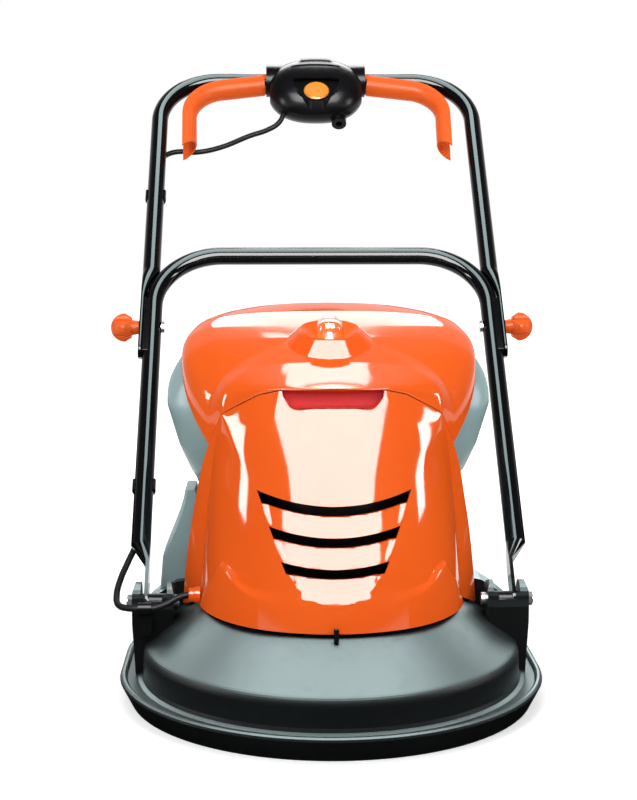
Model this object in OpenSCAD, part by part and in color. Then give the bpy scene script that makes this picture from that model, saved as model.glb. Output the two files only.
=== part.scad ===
// Electric hover mower with a grass box. A moulded hood rides on the air that the impeller
// drives under it, and carries the motor, its cowl, the grass box and a folding tube handle.
// Millimetres. Origin on the ground under the blade spindle, +X to the right as seen from the
// front, +Y to the rear where the operator walks, +Z up.

/* [Hood] */
// Outer radius of the hood's rim
deck_r = 225; // [218:1:235]
// Straight length between the hood's two round ends
deck_straight = 70; // [64:1:84]
// Wall of the hood
deck_wall = 3.5; // [2.5:0.1:4.5]
// How far the hood's side wall stands inside the rim
shoulder_inset = 27; // [24:1:30]
// Height of the shoulder between the side wall and the sloping top
shoulder_z = 57; // [50:1:62]
// Height of the hood's flat top
deck_top_z = 105; // [100:1:112]
// Height of the rim's upper edge
rim_z = 22; // [18:1:24]
// Radius of the air opening under the motor
intake_r = 62; // [58:1:64]

/* [Cowl] */
// Radius of the cowl's foot at the front
cowl_r = 138; // [132:1:142]
// Half width of the cowl's rear edges at the foot
cowl_flank = 160; // [152:1:164]
// Wall of the cowl, the lid and the grass box
shell_wall = 3; // [2.5:0.1:3.6]
// Height of the front seam above the hood's flat top
seam_h = 229; // [222:1:236]
// Height of one air slot
slot_h = 10; // [7:0.5:12]
// How far the band round the foot stands proud
band_out = 3; // [1.5:0.1:4]

/* [Grass box] */
// Half width of the lid
box_half_w = 160; // [154:1:166]
// Distance from the spindle to the lid's front edge
box_front = 57; // [52:1:60]
// Distance from the spindle to the lid's rear edge
box_rear = 190; // [182:1:200]
// Radius of the clear indicator dome
dome_r = 15; // [12:0.5:18]
// Radius of the hinge pins
hinge_pin_r = 2; // [1.5:0.1:2.5]

/* [Motor] */
// Outer radius of the motor
motor_r = 46; // [42:0.5:47]
// Length of the motor can
motor_h = 76; // [68:1:80]
// Radius of the motor shaft
shaft_r = 4; // [3.5:0.1:5]
// Radius of the impeller
impeller_r = 118; // [105:1:122]
// Half length of the blade
blade_r = 165; // [150:1:175]
// Height of the blade's underside above the ground
blade_z = 38; // [34:0.5:41]

/* [Handle] */
// How far the legs stand inside the hood's rim
leg_inset = 18; // [16:0.5:19]
// Outer radius of the handle tube
tube_r = 11; // [10.5:0.1:11.5]
// Wall of the handle tube
tube_wall = 1.5; // [1:0.1:2]
// Lean of the handle from upright
handle_lean = 45; // [42:1:48]
// Distance from the pivot to the knobs along the handle
knob_l = 381.5; // [370:0.5:395]
// Distance from the pivot to the cross bar along the handle
cross_l = 498; // [485:1:505]
// Distance from the pivot to the top bar along the handle
top_l = 824; // [800:1:850]
// Radius of the cross bar's bends
cross_bend_r = 83; // [75:1:90]
// Radius of the top bar's bends
top_bend_r = 80; // [74:1:86]
// Radius of the pivot and knob bolts
bolt_r = 4; // [3.5:0.1:4.5]
// Radius of the wing knobs
knob_r = 17.5; // [15:0.5:20]

/* [Switch box] */
// Half height of the switch box
pod_a = 52; // [50:0.5:53]
// Half depth of the switch box
pod_b = 35; // [34:0.5:37]
// Half length of the switch box
pod_half = 63; // [61:0.5:65]
// Wall of the switch box
pod_wall = 3; // [2:0.1:3.5]
// Radius of the start button
button_r = 17; // [15:0.5:17.5]
// Travel of the start button
button_travel = 4; // [3:0.5:4.5]
// Angle by which a lever stands off the bar
lever_open = 9.5; // [8:0.5:10]
// Radius of the motor cable
cable_r = 3.5; // [3:0.1:3.8]

/* [Hidden] */
$fn = 64;

// Clearances: a seat between fixed pieces, a running fit on a pin, and a gap between bodies
seat = 0.3;
run = 0.06;
gap = 1;

// Finishes
charcoal = [0.20, 0.23, 0.24];
orange = [0.95, 0.36, 0.10];
pale = [0.60, 0.69, 0.70];
black = [0.07, 0.07, 0.08];
steel = [0.70, 0.71, 0.73];

// Hood: radii and heights of its section
shoulder_r = deck_r - shoulder_inset;
rim_foot_r = deck_r - 11;
bead_r = 4;
gutter_z = rim_z - 1;
slope_top_z = deck_top_z - 8;
slope_r = shoulder_r - 8;
slope_z = shoulder_z + 2.5;
plateau_r = cowl_r - 20;

function arc(cx, cz, r, a0, a1, n = 5) =
    [for (i = [0:n]) let (a = a0 + (a1 - a0) * i / n) [cx + r * cos(a), cz + r * sin(a)]];

// Height of the hood's outer face at a distance from its middle line
function deck_z(r) = lookup(r, [[plateau_r, deck_top_z], [cowl_r, slope_top_z], [slope_r, slope_z]]);

deck_outer = concat(
    [[0, 0], [rim_foot_r, 0]],
    arc(deck_r - bead_r, rim_z, bead_r, 0, 180),
    [[shoulder_r + 8, gutter_z], [shoulder_r + 4, gutter_z + 2], [shoulder_r + 2.5, gutter_z + 6]],
    arc(shoulder_r - 10, shoulder_z - 10, 12, 0, 56),
    [[cowl_r, slope_top_z], [plateau_r, deck_top_z], [0, deck_top_z]]);

deck_inner = concat(
    [[0, -1], [rim_foot_r - deck_wall, -1], [rim_foot_r - deck_wall, 0],
        [deck_r - bead_r - 1, rim_z - deck_wall],
        [shoulder_r + 3, gutter_z - deck_wall], [shoulder_r - 1, gutter_z + 2]],
    arc(shoulder_r - 10, shoulder_z - 10, 12 - deck_wall, 0, 56),
    [[cowl_r - 2, slope_top_z - deck_wall], [plateau_r - 1, deck_top_z - deck_wall],
        [0, deck_top_z - deck_wall]]);

// Handle pivots and legs
pivot_y = 15;
pivot_z = deck_top_z - 10;
leg_x = deck_r - leg_inset;
tab_t = 4;
tab_x = leg_x - tube_r;
tab_l = 46;
strap_t = 4.7;
strap_x = leg_x + tube_r + seat;
upper_x = strap_x + strap_t - tube_r;
strap_end_l = knob_l - 46.5;
strap_top_l = cross_l - 24;
clip_upper_l = 596;
clip_lower_l = 142;

// Brackets, measured from the leg
bracket_in = leg_x - 39;
bracket_out = leg_x + 5;
cheek = 7;
bracket_front = -5;
bracket_back = 38;
bracket_top = pivot_z + 21;
bracket_wall = 4;

// Motor stack
mount_t = 4;
can_z = deck_top_z + mount_t;
cap_z = can_z + motor_h;
cap_t = 7;
bearing_r = 11;
bearing_t = 7;
mount_r = intake_r + 16;
screw_ring_r = intake_r + 8;
screw_angles = [20, 160, 200, 340];
spacer_z = blade_z + 3;
impeller_z = spacer_z + 11;
impeller_h = 36;
shaft_top_z = cap_z + cap_t + bearing_t + 4;

// Grass box: heights above the hood's flat top
seam_z = deck_top_z + seam_h;
tub_z = deck_top_z + 10;
box_mid_y = (box_rear - box_front) / 2 + 3;
box_b = box_mid_y + box_front;
box_rear_b = box_rear - box_mid_y;
hinge_y = box_rear + 6;
hinge_z = seam_z + 52;
hinge_x = 60;
hinge_w = 20;
knuckle_r = hinge_pin_r + 2.5;
cone_y = 45;
cone_z = seam_z + 47;
cone_r = 34;
cone_foot_r = 56;
cone_h = 34;

// Seam between the lid and what is under it, by angle from the front
function seam_drop(a) = lookup(abs(a), [[0, 0], [20, -2], [28, -7], [40.5, -25], [44, -31], [52.8, -64],
    [66, -36], [81, -3], [97, 20], [130, 40], [180, 46]]);
function box_y(a, inset = 0) =
    box_mid_y - ((cos(a) > 0 ? box_b : box_rear_b) - inset) * cos(a);
function box_x(a, inset = 0) = (box_half_w - inset) * sin(a);

// Lid's crown over the plan
function crown_z(x, y) = seam_z
    + lookup(y, [[-box_front, 1], [0, 21], [50, 43], [110, 65], [150, 73], [box_rear, 65]])
    - 5 * pow(x / box_half_w, 2);

// Grass box outline by height
function tub_w(z) = box_half_w + lookup(z - seam_z, [[-219, -42], [-174, -28], [-121, -13],
    [-79, 5], [-34, 17], [-3, 16], [26, 13], [52, 9]]);
function tub_front(z) = lookup(z - seam_z, [[-219, motor_r + 12], [-130, motor_r + 10],
    [-108, 12], [-94, 5], [-64, -8], [-34, -22], [-3, -34], [52, -34]]);
function tub_rear(z) = box_rear + lookup(z - seam_z, [[-219, -14], [-121, -8], [-34, -2], [52, 0]]);

// Switch box: hung under the bar, with its button facing along the handle's normal
pod_drop = 21;
collar_r = tube_r + 11;
collar_bore = tube_r + 8.2;
collar_x = 46;
collar_end = pod_half + 5;
button_z = -50;
button_face = 30;
button_collar = 28;
recess_floor = 27;
recess_top = -30;
recess_r = 31.5;
flange_face = 23;
switch_face = 8;
switch_back = -6;
lever_pin_x = 46;
lever_pin_z = -16;
lever_pin_r = 2;
lever_mid = -4;
lever_bend_r = 58;
lever_bend_x = upper_x - 84;
lever_arc = 82;
lever_leg = 65;
lever_root = pod_half + 7;
channel_wall = 2;
web_in = tube_r + 2;
web_out = web_in + channel_wall;

// Motor cable, in the handle's own frame down to the lower leg, then in the mower's frame
cable_off = tube_r + cable_r + seat;
gland_y = -9;
exit_x = 45;
exit_y = 4;
upper_route = [[-exit_x, exit_y, top_l - 50], [-exit_x, exit_y, top_l - 63], [-52, 9, top_l - 75],
    [-66, 14, top_l - 82], [-90, 17.5, top_l - 90], [-131, 20.5, top_l - 110],
    [-163, 20.5, top_l - 119], [-188, 20.5, top_l - 118], [-203, 20, top_l - 125],
    [-210, 18, top_l - 140], [-upper_x, cable_off + 0.5, top_l - 162],
    [-upper_x, cable_off, top_l - 190], [-upper_x, cable_off, 600], [-upper_x, cable_off, 540],
    [-upper_x, cable_off, 490]];
fold_route = [[-upper_x, cable_off, 490], [-upper_x, cable_off, 465],
    [-upper_x + 1, cable_off, 430], [-upper_x + 3, cable_off, 390],
    [-leg_x - 1, cable_off, 350], [-leg_x, cable_off, 320], [-leg_x, cable_off, 300]];
lower_route = [[-leg_x, cable_off, 300], [-leg_x, cable_off, 240], [-leg_x, cable_off, 180],
    [-leg_x, cable_off, 120]];
loop_route = [[-leg_x, 109.95, 169.05], [-leg_x - 1.5, 98, 157], [-leg_x - 6, 84, 143],
    [-leg_x - 14, 66, 127], [-leg_x - 21, 42, 112], [-leg_x - 23, 18, 101], [-leg_x - 19, -2, 95.5],
    [-leg_x - 9, -14, 95.5], [-leg_x + 2, -18, 96], [-leg_x + 18, -18, 96], [-leg_x + 32, -16, 100],
    [-leg_x + 43, -12, 105], [-cowl_r - 14, gland_y, deck_top_z + 3],
    [-cowl_r - 3, gland_y, deck_top_z + 3]];

// Solid of the hood's plan: two half turns joined by straight sides
module stadium(profile) {
    translate([0, deck_straight, 0]) rotate_extrude(angle = 180) polygon(profile);
    rotate([0, 0, 180]) rotate_extrude(angle = 180) polygon(profile);
    for (side = [0, 1])
        mirror([side, 0, 0]) translate([0, deck_straight, 0]) rotate([90, 0, 0])
            linear_extrude(deck_straight) polygon(profile);
}

module both_sides() {
    children();
    mirror([1, 0, 0]) children();
}

module handle_pose() {
    translate([0, pivot_y, pivot_z]) rotate([-handle_lean, 0, 0]) children();
}

module along_x(x0, x1, r) {
    translate([x0, 0, 0]) rotate([0, 90, 0]) cylinder(r = r, h = x1 - x0);
}

// Thin shell between an outer and an inner grid of points, closed round its edges.
// Rows run round the piece from left to right at the front, columns from its foot to its top.
// A ring joins the last row to the first, and may be closed at its foot or its top.
module shell(outer, inner, ring = false, floor = false, roof = false) {
    rows = len(outer);
    cols = len(outer[0]);
    size = rows * cols;
    last = ring ? rows - 1 : rows - 2;
    points = concat([for (row = outer) each row], [for (row = inner) each row]);
    function at(i, j) = (i % rows) * cols + j;
    function quad(a, b, c, d) = [[a, b, c], [a, c, d]];
    function fan(first, j, turn) = [for (i = [1:rows - 2])
        turn ? [first + at(0, j), first + at(i + 1, j), first + at(i, j)]
            : [first + at(0, j), first + at(i, j), first + at(i + 1, j)]];
    faces = concat(
        [for (i = [0:last], j = [0:cols - 2])
            each quad(at(i, j), at(i, j + 1), at(i + 1, j + 1), at(i + 1, j))],
        [for (i = [0:last], j = [0:cols - 2])
            each quad(size + at(i, j), size + at(i + 1, j), size + at(i + 1, j + 1), size + at(i, j + 1))],
        floor ? concat(fan(0, 0, false), fan(size, 0, true))
            : [for (i = [0:last]) each quad(at(i, 0), at(i + 1, 0), size + at(i + 1, 0), size + at(i, 0))],
        roof ? concat(fan(0, cols - 1, true), fan(size, cols - 1, false))
            : [for (i = [0:last]) let (j = cols - 1)
                each quad(at(i, j), size + at(i, j), size + at(i + 1, j), at(i + 1, j))],
        ring ? [] : [for (j = [0:cols - 2])
            each quad(at(0, j), size + at(0, j), size + at(0, j + 1), at(0, j + 1))],
        ring ? [] : [for (j = [0:cols - 2]) let (i = rows - 1)
            each quad(at(i, j), at(i, j + 1), size + at(i, j + 1), size + at(i, j))]);
    polyhedron(points = points, faces = faces, convexity = 8);
}

// Solid from rings of equal count, closed by fans at both ends
module loft(rings) {
    n = len(rings[0]);
    m = len(rings);
    end = (m - 1) * n;
    points = [for (r = rings) each r];
    faces = concat(
        [for (i = [0:m - 2], j = [0:n - 1]) each let (k = (j + 1) % n)
            [[i * n + j, i * n + k, (i + 1) * n + k], [i * n + j, (i + 1) * n + k, (i + 1) * n + j]]],
        [for (j = [1:n - 2]) [0, j + 1, j]],
        [for (j = [1:n - 2]) [end, end + j, end + j + 1]]);
    polyhedron(points = points, faces = faces, convexity = 8);
}

// Round tube swept along a smoothed list of points
function unit(v) = v / norm(v);
function smooth(p, i, t) =
    let (a = p[max(i - 1, 0)], b = p[i], c = p[i + 1], d = p[min(i + 2, len(p) - 1)])
    0.5 * (2 * b + (c - a) * t + (2 * a - 5 * b + 4 * c - d) * t * t + (3 * b - a - 3 * c + d) * t * t * t);
function dense(p, step) = concat(
    [for (i = [0:len(p) - 2]) each let (n = max(1, round(norm(p[i + 1] - p[i]) / step)))
        [for (k = [0:n - 1]) smooth(p, i, k / n)]],
    [p[len(p) - 1]]);
module tube(route, r, step = 16, sides = 10) {
    p = dense(route, step);
    n = len(p);
    rings = [for (i = [0:n - 1])
        let (d = unit(p[min(i + 1, n - 1)] - p[max(i - 1, 0)]),
            side = unit(cross(d, abs(d[1]) > 0.8 ? [0, 0, 1] : [0, 1, 0])),
            up = cross(side, d))
        [for (k = [0:sides - 1]) p[i] + r * (cos(360 * k / sides) * side + sin(360 * k / sides) * up)]];
    loft(rings);
}

// Handle bracket on the right: front outline crossed with side outline
module bracket() {
    difference() {
        intersection() {
            translate([0, bracket_back, 0]) rotate([90, 0, 0]) linear_extrude(bracket_back - bracket_front)
                polygon([[bracket_in, slope_z], [bracket_in, bracket_top - 8],
                    [bracket_in + 3, bracket_top], [bracket_out - 3, bracket_top],
                    [bracket_out, bracket_top - 8], [bracket_out, pivot_z - 20],
                    [bracket_out - 3, gutter_z], [shoulder_r - 2, gutter_z],
                    [shoulder_r - 12, slope_z - 6]]);
            translate([bracket_in, 0, 0]) rotate([90, 0, 90]) linear_extrude(bracket_out - bracket_in)
                polygon(concat([[bracket_front, gutter_z], [bracket_back, gutter_z],
                        [bracket_back, pivot_z - 4]],
                    arc(pivot_y, bracket_top - 18, 18, 0, 180, 12),
                    [[bracket_front, pivot_z - 4]]));
        }
        translate([bracket_in + cheek, bracket_front + bracket_wall, pivot_z - 26])
            cube([bracket_out - bracket_in - 2 * cheek - 2, bracket_back - bracket_front, 100]);
        translate([bracket_in + cheek + 5, bracket_front - 1, pivot_z + 4])
            cube([bracket_out - bracket_in - 2 * cheek - 12, bracket_wall + 2, 60]);
        translate([0, pivot_y, pivot_z]) along_x(bracket_in - 1, bracket_out + 1, bolt_r + run);
    }
    // Stop under the handle tab
    translate([bracket_in + cheek - 1, bracket_back - bracket_wall, pivot_z - 30])
        cube([bracket_out - bracket_in - 2 * cheek, bracket_wall, 32.5]);
}

module deck() {
    color(charcoal) difference() {
        union() {
            stadium(deck_outer);
            both_sides() bracket();
        }
        stadium(deck_inner);
        translate([0, 0, deck_top_z - 10]) cylinder(r = intake_r, h = 20);
        for (a = screw_angles) rotate([0, 0, a]) translate([screw_ring_r, 0, deck_top_z - 10])
            cylinder(r = 2 + run, h = 20);
        translate([-outlet_x, outlet_y, rim_z]) cylinder(r = outlet_r, h = 150);
    }
}

// Rear hump over the hood, open below
hump_front = motor_r + 6;
hump_z = tub_z - seat;
hump_r = deck_r - 13;
hump_wall = 3;
// Outlet that lets the cut grass up from under the hood into the duct
outlet_x = deck_r - 60;
outlet_y = 90;
outlet_r = 14;
hump_outer = [[0, gutter_z + 2], [hump_r, gutter_z + 2], [hump_r - 2, shoulder_z + 4],
    [hump_r - 10, shoulder_z + 24], [hump_r - 26, hump_z - 20], [hump_r - 44, hump_z - 8],
    [hump_r - 80, hump_z - 2], [hump_r - 112, hump_z], [0, hump_z]];
hump_inner = [[0, gutter_z], [hump_r - 3, gutter_z], [hump_r - 5, shoulder_z + 4],
    [hump_r - 13, shoulder_z + 22.5], [hump_r - 28, hump_z - 23], [hump_r - 45, hump_z - 11],
    [hump_r - 80, hump_z - 5], [hump_r - 112, hump_z - hump_wall], [0, hump_z - hump_wall]];
function hump_top(r) = lookup(r, [for (p = hump_outer) if (p[1] > shoulder_z) p]);

module hump_solid(profile, front) {
    translate([0, deck_straight, 0]) rotate_extrude(angle = 180) polygon(profile);
    both_sides() translate([0, deck_straight, 0]) rotate([90, 0, 0])
        linear_extrude(deck_straight - front) polygon(profile);
}

module rear_housing() {
    color(charcoal) difference() {
        union() {
            difference() {
                hump_solid(hump_outer, hump_front);
                hump_solid(hump_inner, hump_front - 1);
            }
            both_sides() translate([0, hump_front + hump_wall, 0]) rotate([90, 0, 0])
                linear_extrude(hump_wall) difference() {
                    polygon(hump_outer);
                    translate([seat, seat]) polygon(deck_outer);
                    translate([0, seat]) polygon(deck_outer);
                    square([shoulder_r + 3, gutter_z + 10]);
                }
        }
        translate([0, 0, deck_top_z - 1]) cylinder(r = mount_r + 1, h = mount_t + 3);
        translate([-outlet_x, outlet_y, rim_z]) cylinder(r = outlet_r, h = 150);
    }
}

// Cowl: a sheet from its foot on the hood up to the seam, with a band round the foot
cowl_rows = 40;
flank_y = 40;
flank_a = 90 + atan(flank_y / cowl_flank);
corner_a = 52.8;
function cowl_foot_r(a) =
    lookup(abs(a), [[0, cowl_r], [92, cowl_r], [flank_a, norm([cowl_flank, flank_y])]]);
// A point moved in height on to the hood
function on_hood(p) = [p[0], p[1], deck_z(p[1] < 0 ? norm([p[0], p[1]]) : abs(p[0])) + 2 * seat];
function cowl_foot(a) = let (r = cowl_foot_r(a)) on_hood([r * sin(a), -r * cos(a)]);
function cowl_top(a) = [box_x(a), box_y(a), seam_z - 2 * gap + seam_drop(a)];
function cowl_point(u, t) =
    let (a = cowl_foot(u * flank_a), b = cowl_top(u * corner_a),
        c = [a[0] * 0.75 + b[0] * 0.25, a[1] * 0.75 + b[1] * 0.25, a[2] * 0.4 + b[2] * 0.6])
    (1 - t) * (1 - t) * a + 2 * t * (1 - t) * c + t * t * b;
function outward(p) = let (d = [p[0], p[1] - 40, 0]) d / norm(d);
// Top of the band, which rises to a horn at each side, and the slanted edge outside the horn
function band_top(u) = lookup(abs(u), [[0, 0.083], [0.24, 0.09], [0.356, 0.113], [0.433, 0.14],
    [0.51, 0.19], [0.57, 0.21]]);
band_end = 0.78;
function cowl_steps(u) = let (b = band_top(u))
    [0, b * 0.5, b, b + 0.012, 0.32, 0.42, 0.52, 0.62, 0.72, 0.81, 0.89, 0.95, 1];
function cowl_bulge(u, t) = t <= band_top(u) && abs(u) + t < band_end ? band_out : 0;
cowl_outer = [for (i = [0:cowl_rows]) let (u = 2 * i / cowl_rows - 1, s = cowl_steps(u))
    [for (j = [0:len(s) - 1]) let (p = cowl_point(u, s[j]), q = p + cowl_bulge(u, s[j]) * outward(p))
        j == 0 ? on_hood(q) : q]];
cowl_inner = [for (i = [0:cowl_rows]) let (u = 2 * i / cowl_rows - 1, s = cowl_steps(u))
    [for (j = [0:len(s) - 1]) let (p = cowl_point(u, s[j]), q = p - shell_wall * outward(p))
        j == 0 ? on_hood(q) : q]];

slot_bend = 268;
slot_step = 30;
slot_half_w = 77;
scoop_half_w = 52;
scoop_h = 19;
scoop_depth = 14;
scoop_lean = 30;

module air_slots() {
    for (i = [0:2]) let (half = slot_half_w - 12 * i, z = deck_top_z + 113 - slot_step * i)
        translate([0, -60, z]) rotate([90, 0, 0]) linear_extrude(100) intersection() {
            translate([0, slot_bend]) difference() {
                circle(r = slot_bend + slot_h / 2, $fn = 256);
                circle(r = slot_bend - slot_h / 2, $fn = 256);
            }
            polygon([[-half + 9, -20], [half - 9, -20], [half + 3, 20], [-half - 3, 20]]);
        }
}

// Outline of the finger scoop, down from the seam
module scoop_outline(grow) {
    translate([0, seam_z - scoop_h]) {
        translate([-scoop_half_w + 18, -grow]) square([2 * scoop_half_w - 36, scoop_h + grow + 4]);
        for (side = [-1, 1]) intersection() {
            translate([side * (scoop_half_w - 18), 18]) circle(r = 18 + grow);
            translate([-scoop_half_w - 9, -grow]) square([2 * scoop_half_w + 18, scoop_h + grow + 4]);
        }
    }
}

module motor_cowl() {
    color(orange) difference() {
        union() {
            shell(cowl_outer, cowl_inner);
            difference() {
                translate([0, -box_front + scoop_depth, 0]) rotate([90, 0, 0])
                    linear_extrude(scoop_depth + 12) scoop_outline(2.5);
                translate([0, -box_front - 1, seam_z - gap]) rotate([-scoop_lean, 0, 0])
                    translate([-100, -50, -60]) cube([200, 50, 100]);
                translate([-100, -100, seam_z - 2 * gap - 2]) cube([200, 200, 50]);
            }
        }
        translate([0, -box_front + scoop_depth - 2.5, 0]) rotate([90, 0, 0])
            linear_extrude(60) scoop_outline(0);
        air_slots();
    }
}

module cowl_clip() {
    foot_r = cowl_r + band_out + seat;
    color(black) translate([-2.5, -foot_r - 4, deck_z(foot_r) + seat]) cube([5, 4, 13]);
}

module cable_gland() {
    color(orange) translate([-cowl_r - 3 * seat, gland_y, deck_top_z + 3])
        rotate([0, -90, 0]) rotate_extrude() polygon([[cable_r + seat, 0], [9, 0], [9, 5], [7.5, 7],
            [7.5, 12], [cable_r + seat, 12]]);
}

// Black baffle behind the air slots
module intake_baffle() {
    color(black) translate([0, 0, deck_top_z]) rotate([0, 0, -145])
        rotate_extrude(angle = 110) translate([92, 0]) square([2.5, 122]);
}

// Channel that leads the grass up to the box, on the left
duct_front = 62;
duct_back = 118;
duct_wall = 2.5;
duct_mouth = [44, 32];
function duct_out(h) = deck_r
    - lookup(h, [[0, 38], [18, 42], [38, 50], [58, 58], [78, 64.5], [100, 69]]);
function duct_ring(h, in, drop = 0) =
    let (z = tub_z + h, c = 3,
        x1 = duct_out(h) - in, x0 = max(142, tub_w(z) + 2) + in,
        y0 = duct_front + in, y1 = duct_back - in)
    [for (p = [[x0, y0], [x1 - c, y0], [x1, y0 + c], [x1, y1 - c], [x1 - c, y1], [x0, y1]])
        [-p[0], p[1], (h > 1 ? z : hump_top(norm([p[0], max(0, p[1] - deck_straight)])) + seat) - drop]];
// Mouth between the duct and the box
module duct_opening() {
    translate([-160, (duct_front + duct_back - duct_mouth[0]) / 2, tub_z + 46]) cube([34, each duct_mouth]);
}
module grass_duct() {
    color(pale) difference() {
        loft([for (h = [0, 18, 38, 58, 78, 92]) duct_ring(h, 0, h < 1 ? 6 : 0)]);
        loft([for (h = [0, 18, 38, 58, 78, 92])
            duct_ring(h, duct_wall, h < 1 ? 12 : h > 90 ? duct_wall : 0)]);
        translate([0, 0, seat]) hump_solid(hump_outer, hump_front);
        intersection() {
            duct_opening();
            translate([-150, 0, 0]) cube(400);
        }
    }
}

// Cover over the motor, closed on top and open to the front for its air
cover_half_w = 112;
cover_front = 60;
cover_rear = motor_r + 4;
cover_wall = 2.5;
cover_rows = 40;
function cover_top(y) = cap_z + lookup(y, [[-cover_front, 36], [5, 34], [cover_rear, 18]]);
function cover_point(a, t, in) =
    let (power = cos(a) < 0 ? 0.5 : 1, depth = cos(a) > 0 ? cover_front : cover_rear,
        x = (cover_half_w - 14 * t - in) * sign(sin(a)) * pow(abs(sin(a)), power),
        y = -(depth - in) * sign(cos(a)) * pow(abs(cos(a)), power),
        z = deck_top_z + seat)
    [x, y, z + (cover_top(y) - z) * t - (t > 0.99 ? in : 0)];
function cover_grid(in) =
    [for (i = [0:cover_rows - 1]) [for (t = [0, 0.5, 0.94, 1]) cover_point(360 * i / cover_rows, t, in)]];
module motor_cover() {
    color(pale) difference() {
        shell(cover_grid(0), cover_grid(cover_wall), ring = true, roof = true);
        translate([0, 0, deck_top_z - 1]) cylinder(r = mount_r + 0.5, h = mount_t + 1 + seat);
        translate([-55, -cover_front - 10, can_z + 8]) cube([110, 45, 40]);
    }
}

// Motor and what it turns
module motor_mount() {
    color(steel) difference() {
        union() {
            translate([0, 0, deck_top_z]) cylinder(r = mount_r, h = mount_t);
            translate([0, 0, deck_top_z - bearing_t + 1]) cylinder(r = bearing_r + 5, h = bearing_t);
        }
        translate([0, 0, deck_top_z - bearing_t]) cylinder(r = bearing_r + 0.02, h = bearing_t + 1);
        translate([0, 0, deck_top_z]) cylinder(r = bearing_r - 2, h = 20);
        for (i = [0:5]) rotate([0, 0, 60 * i])
            translate([(bearing_r + motor_r) / 2 + 2, 0, deck_top_z - 1]) cylinder(r = 11, h = mount_t + 2);
        for (a = screw_angles) rotate([0, 0, a]) translate([screw_ring_r, 0, deck_top_z - 1])
            cylinder(r = 2 + run, h = mount_t + 2);
    }
}

module motor_screws() {
    color(steel) for (a = screw_angles) rotate([0, 0, a]) translate([screw_ring_r, 0, 0]) {
        translate([0, 0, deck_top_z - deck_wall - 3]) cylinder(r = 2, h = mount_t + deck_wall + 3);
        translate([0, 0, can_z]) cylinder(r = 4.2, h = 3);
    }
}

module motor_can() {
    color(steel) difference() {
        translate([0, 0, can_z]) cylinder(r = motor_r, h = motor_h);
        translate([0, 0, can_z - 1]) cylinder(r = motor_r - 2.5, h = motor_h + 2);
        for (i = [0:3]) rotate([0, 0, 90 * i])
            translate([motor_r - 8, -9, can_z + motor_h - 18]) cube([16, 18, 10]);
    }
}

stator_r = motor_r - 2.5 - 0.1;
armature_r = stator_r - 13;
module stator() {
    color([0.45, 0.42, 0.40]) difference() {
        translate([0, 0, can_z + 6]) cylinder(r = stator_r, h = 50);
        translate([0, 0, can_z]) cylinder(r = armature_r + 0.6, h = 70);
        for (i = [0:1]) rotate([0, 0, 180 * i + 90]) translate([0, -8, can_z]) cube([stator_r - 4, 16, 70]);
    }
}

module end_cap() {
    color(black) difference() {
        union() {
            translate([0, 0, cap_z]) cylinder(r = motor_r, h = cap_t);
            translate([0, 0, cap_z + cap_t - 1]) cylinder(r = bearing_r + 5, h = bearing_t + 3);
            for (side = [-1, 1]) translate([side * 24 - 10, -7, cap_z - 13]) cube([20, 14, 14]);
        }
        translate([0, 0, cap_z - 20]) cylinder(r = shaft_r + 3, h = 60);
        translate([0, 0, cap_z + cap_t]) cylinder(r = bearing_r + 0.02, h = bearing_t + 5);
        translate([-30, -4.1, cap_z - 11.1]) cube([60, 8.2, 6.2]);
    }
}

module brushes() {
    color([0.15, 0.15, 0.15]) for (side = [0, 180]) rotate([0, 0, side])
        translate([commutator_r + 0.3, -4, cap_z - 11]) cube([14, 8, 6]);
}

module bearing(z) {
    color(steel) difference() {
        translate([0, 0, z]) cylinder(r = bearing_r, h = bearing_t);
        translate([0, 0, z - 1]) cylinder(r = shaft_r + run, h = bearing_t + 2);
    }
}
module lower_bearing() { bearing(deck_top_z - bearing_t); }
module upper_bearing() { bearing(cap_z + cap_t); }

module terminal_block() {
    color(black) translate([-36, 13, cap_z + cap_t]) difference() {
        cube([26, 14, 12]);
        for (i = [0:2]) translate([5 + 8 * i, -1, 6]) cube([4, 10, 7]);
    }
}

commutator_r = 13;
module motor_shaft() {
    color(steel) difference() {
        translate([0, 0, spacer_z]) cylinder(r = shaft_r, h = shaft_top_z - spacer_z);
        translate([0, 0, spacer_z - 1]) cylinder(r = 3.02, h = 22);
    }
}

module armature() {
    color([0.55, 0.40, 0.25]) difference() {
        translate([0, 0, can_z + 6]) cylinder(r = armature_r, h = 50);
        translate([0, 0, can_z]) cylinder(r = shaft_r + 0.02, h = 70);
        for (i = [0:11]) rotate([0, 0, 30 * i]) translate([armature_r - 9, -1.5, can_z]) cube([20, 3, 70]);
    }
}

module commutator() {
    color([0.72, 0.45, 0.20]) difference() {
        translate([0, 0, cap_z - 14]) cylinder(r = commutator_r, h = 12);
        translate([0, 0, cap_z - 20]) cylinder(r = shaft_r + 0.02, h = 30);
    }
}

// Centrifugal impeller: plate, hub and swept-back vanes
vane_count = 12;
module impeller() {
    color(black) difference() {
        union() {
            translate([0, 0, impeller_z]) cylinder(r = impeller_r, h = 3);
            translate([0, 0, impeller_z]) cylinder(r = 17, h = impeller_h - 4);
            for (i = [0:vane_count - 1]) rotate([0, 0, 360 / vane_count * i]) translate([16, 0, impeller_z])
                rotate([0, 0, 18]) translate([0, -1.25, 0]) cube([impeller_r - 24, 2.5, impeller_h - 12]);
        }
        translate([0, 0, impeller_z - 1]) cylinder(r = shaft_r + 0.02, h = 60);
    }
}

module blade_spacer() {
    color(black) difference() {
        translate([0, 0, spacer_z]) cylinder(r = 20, h = impeller_z - spacer_z);
        translate([0, 0, spacer_z - 1]) cylinder(r = shaft_r + 0.02, h = 30);
    }
}

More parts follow.
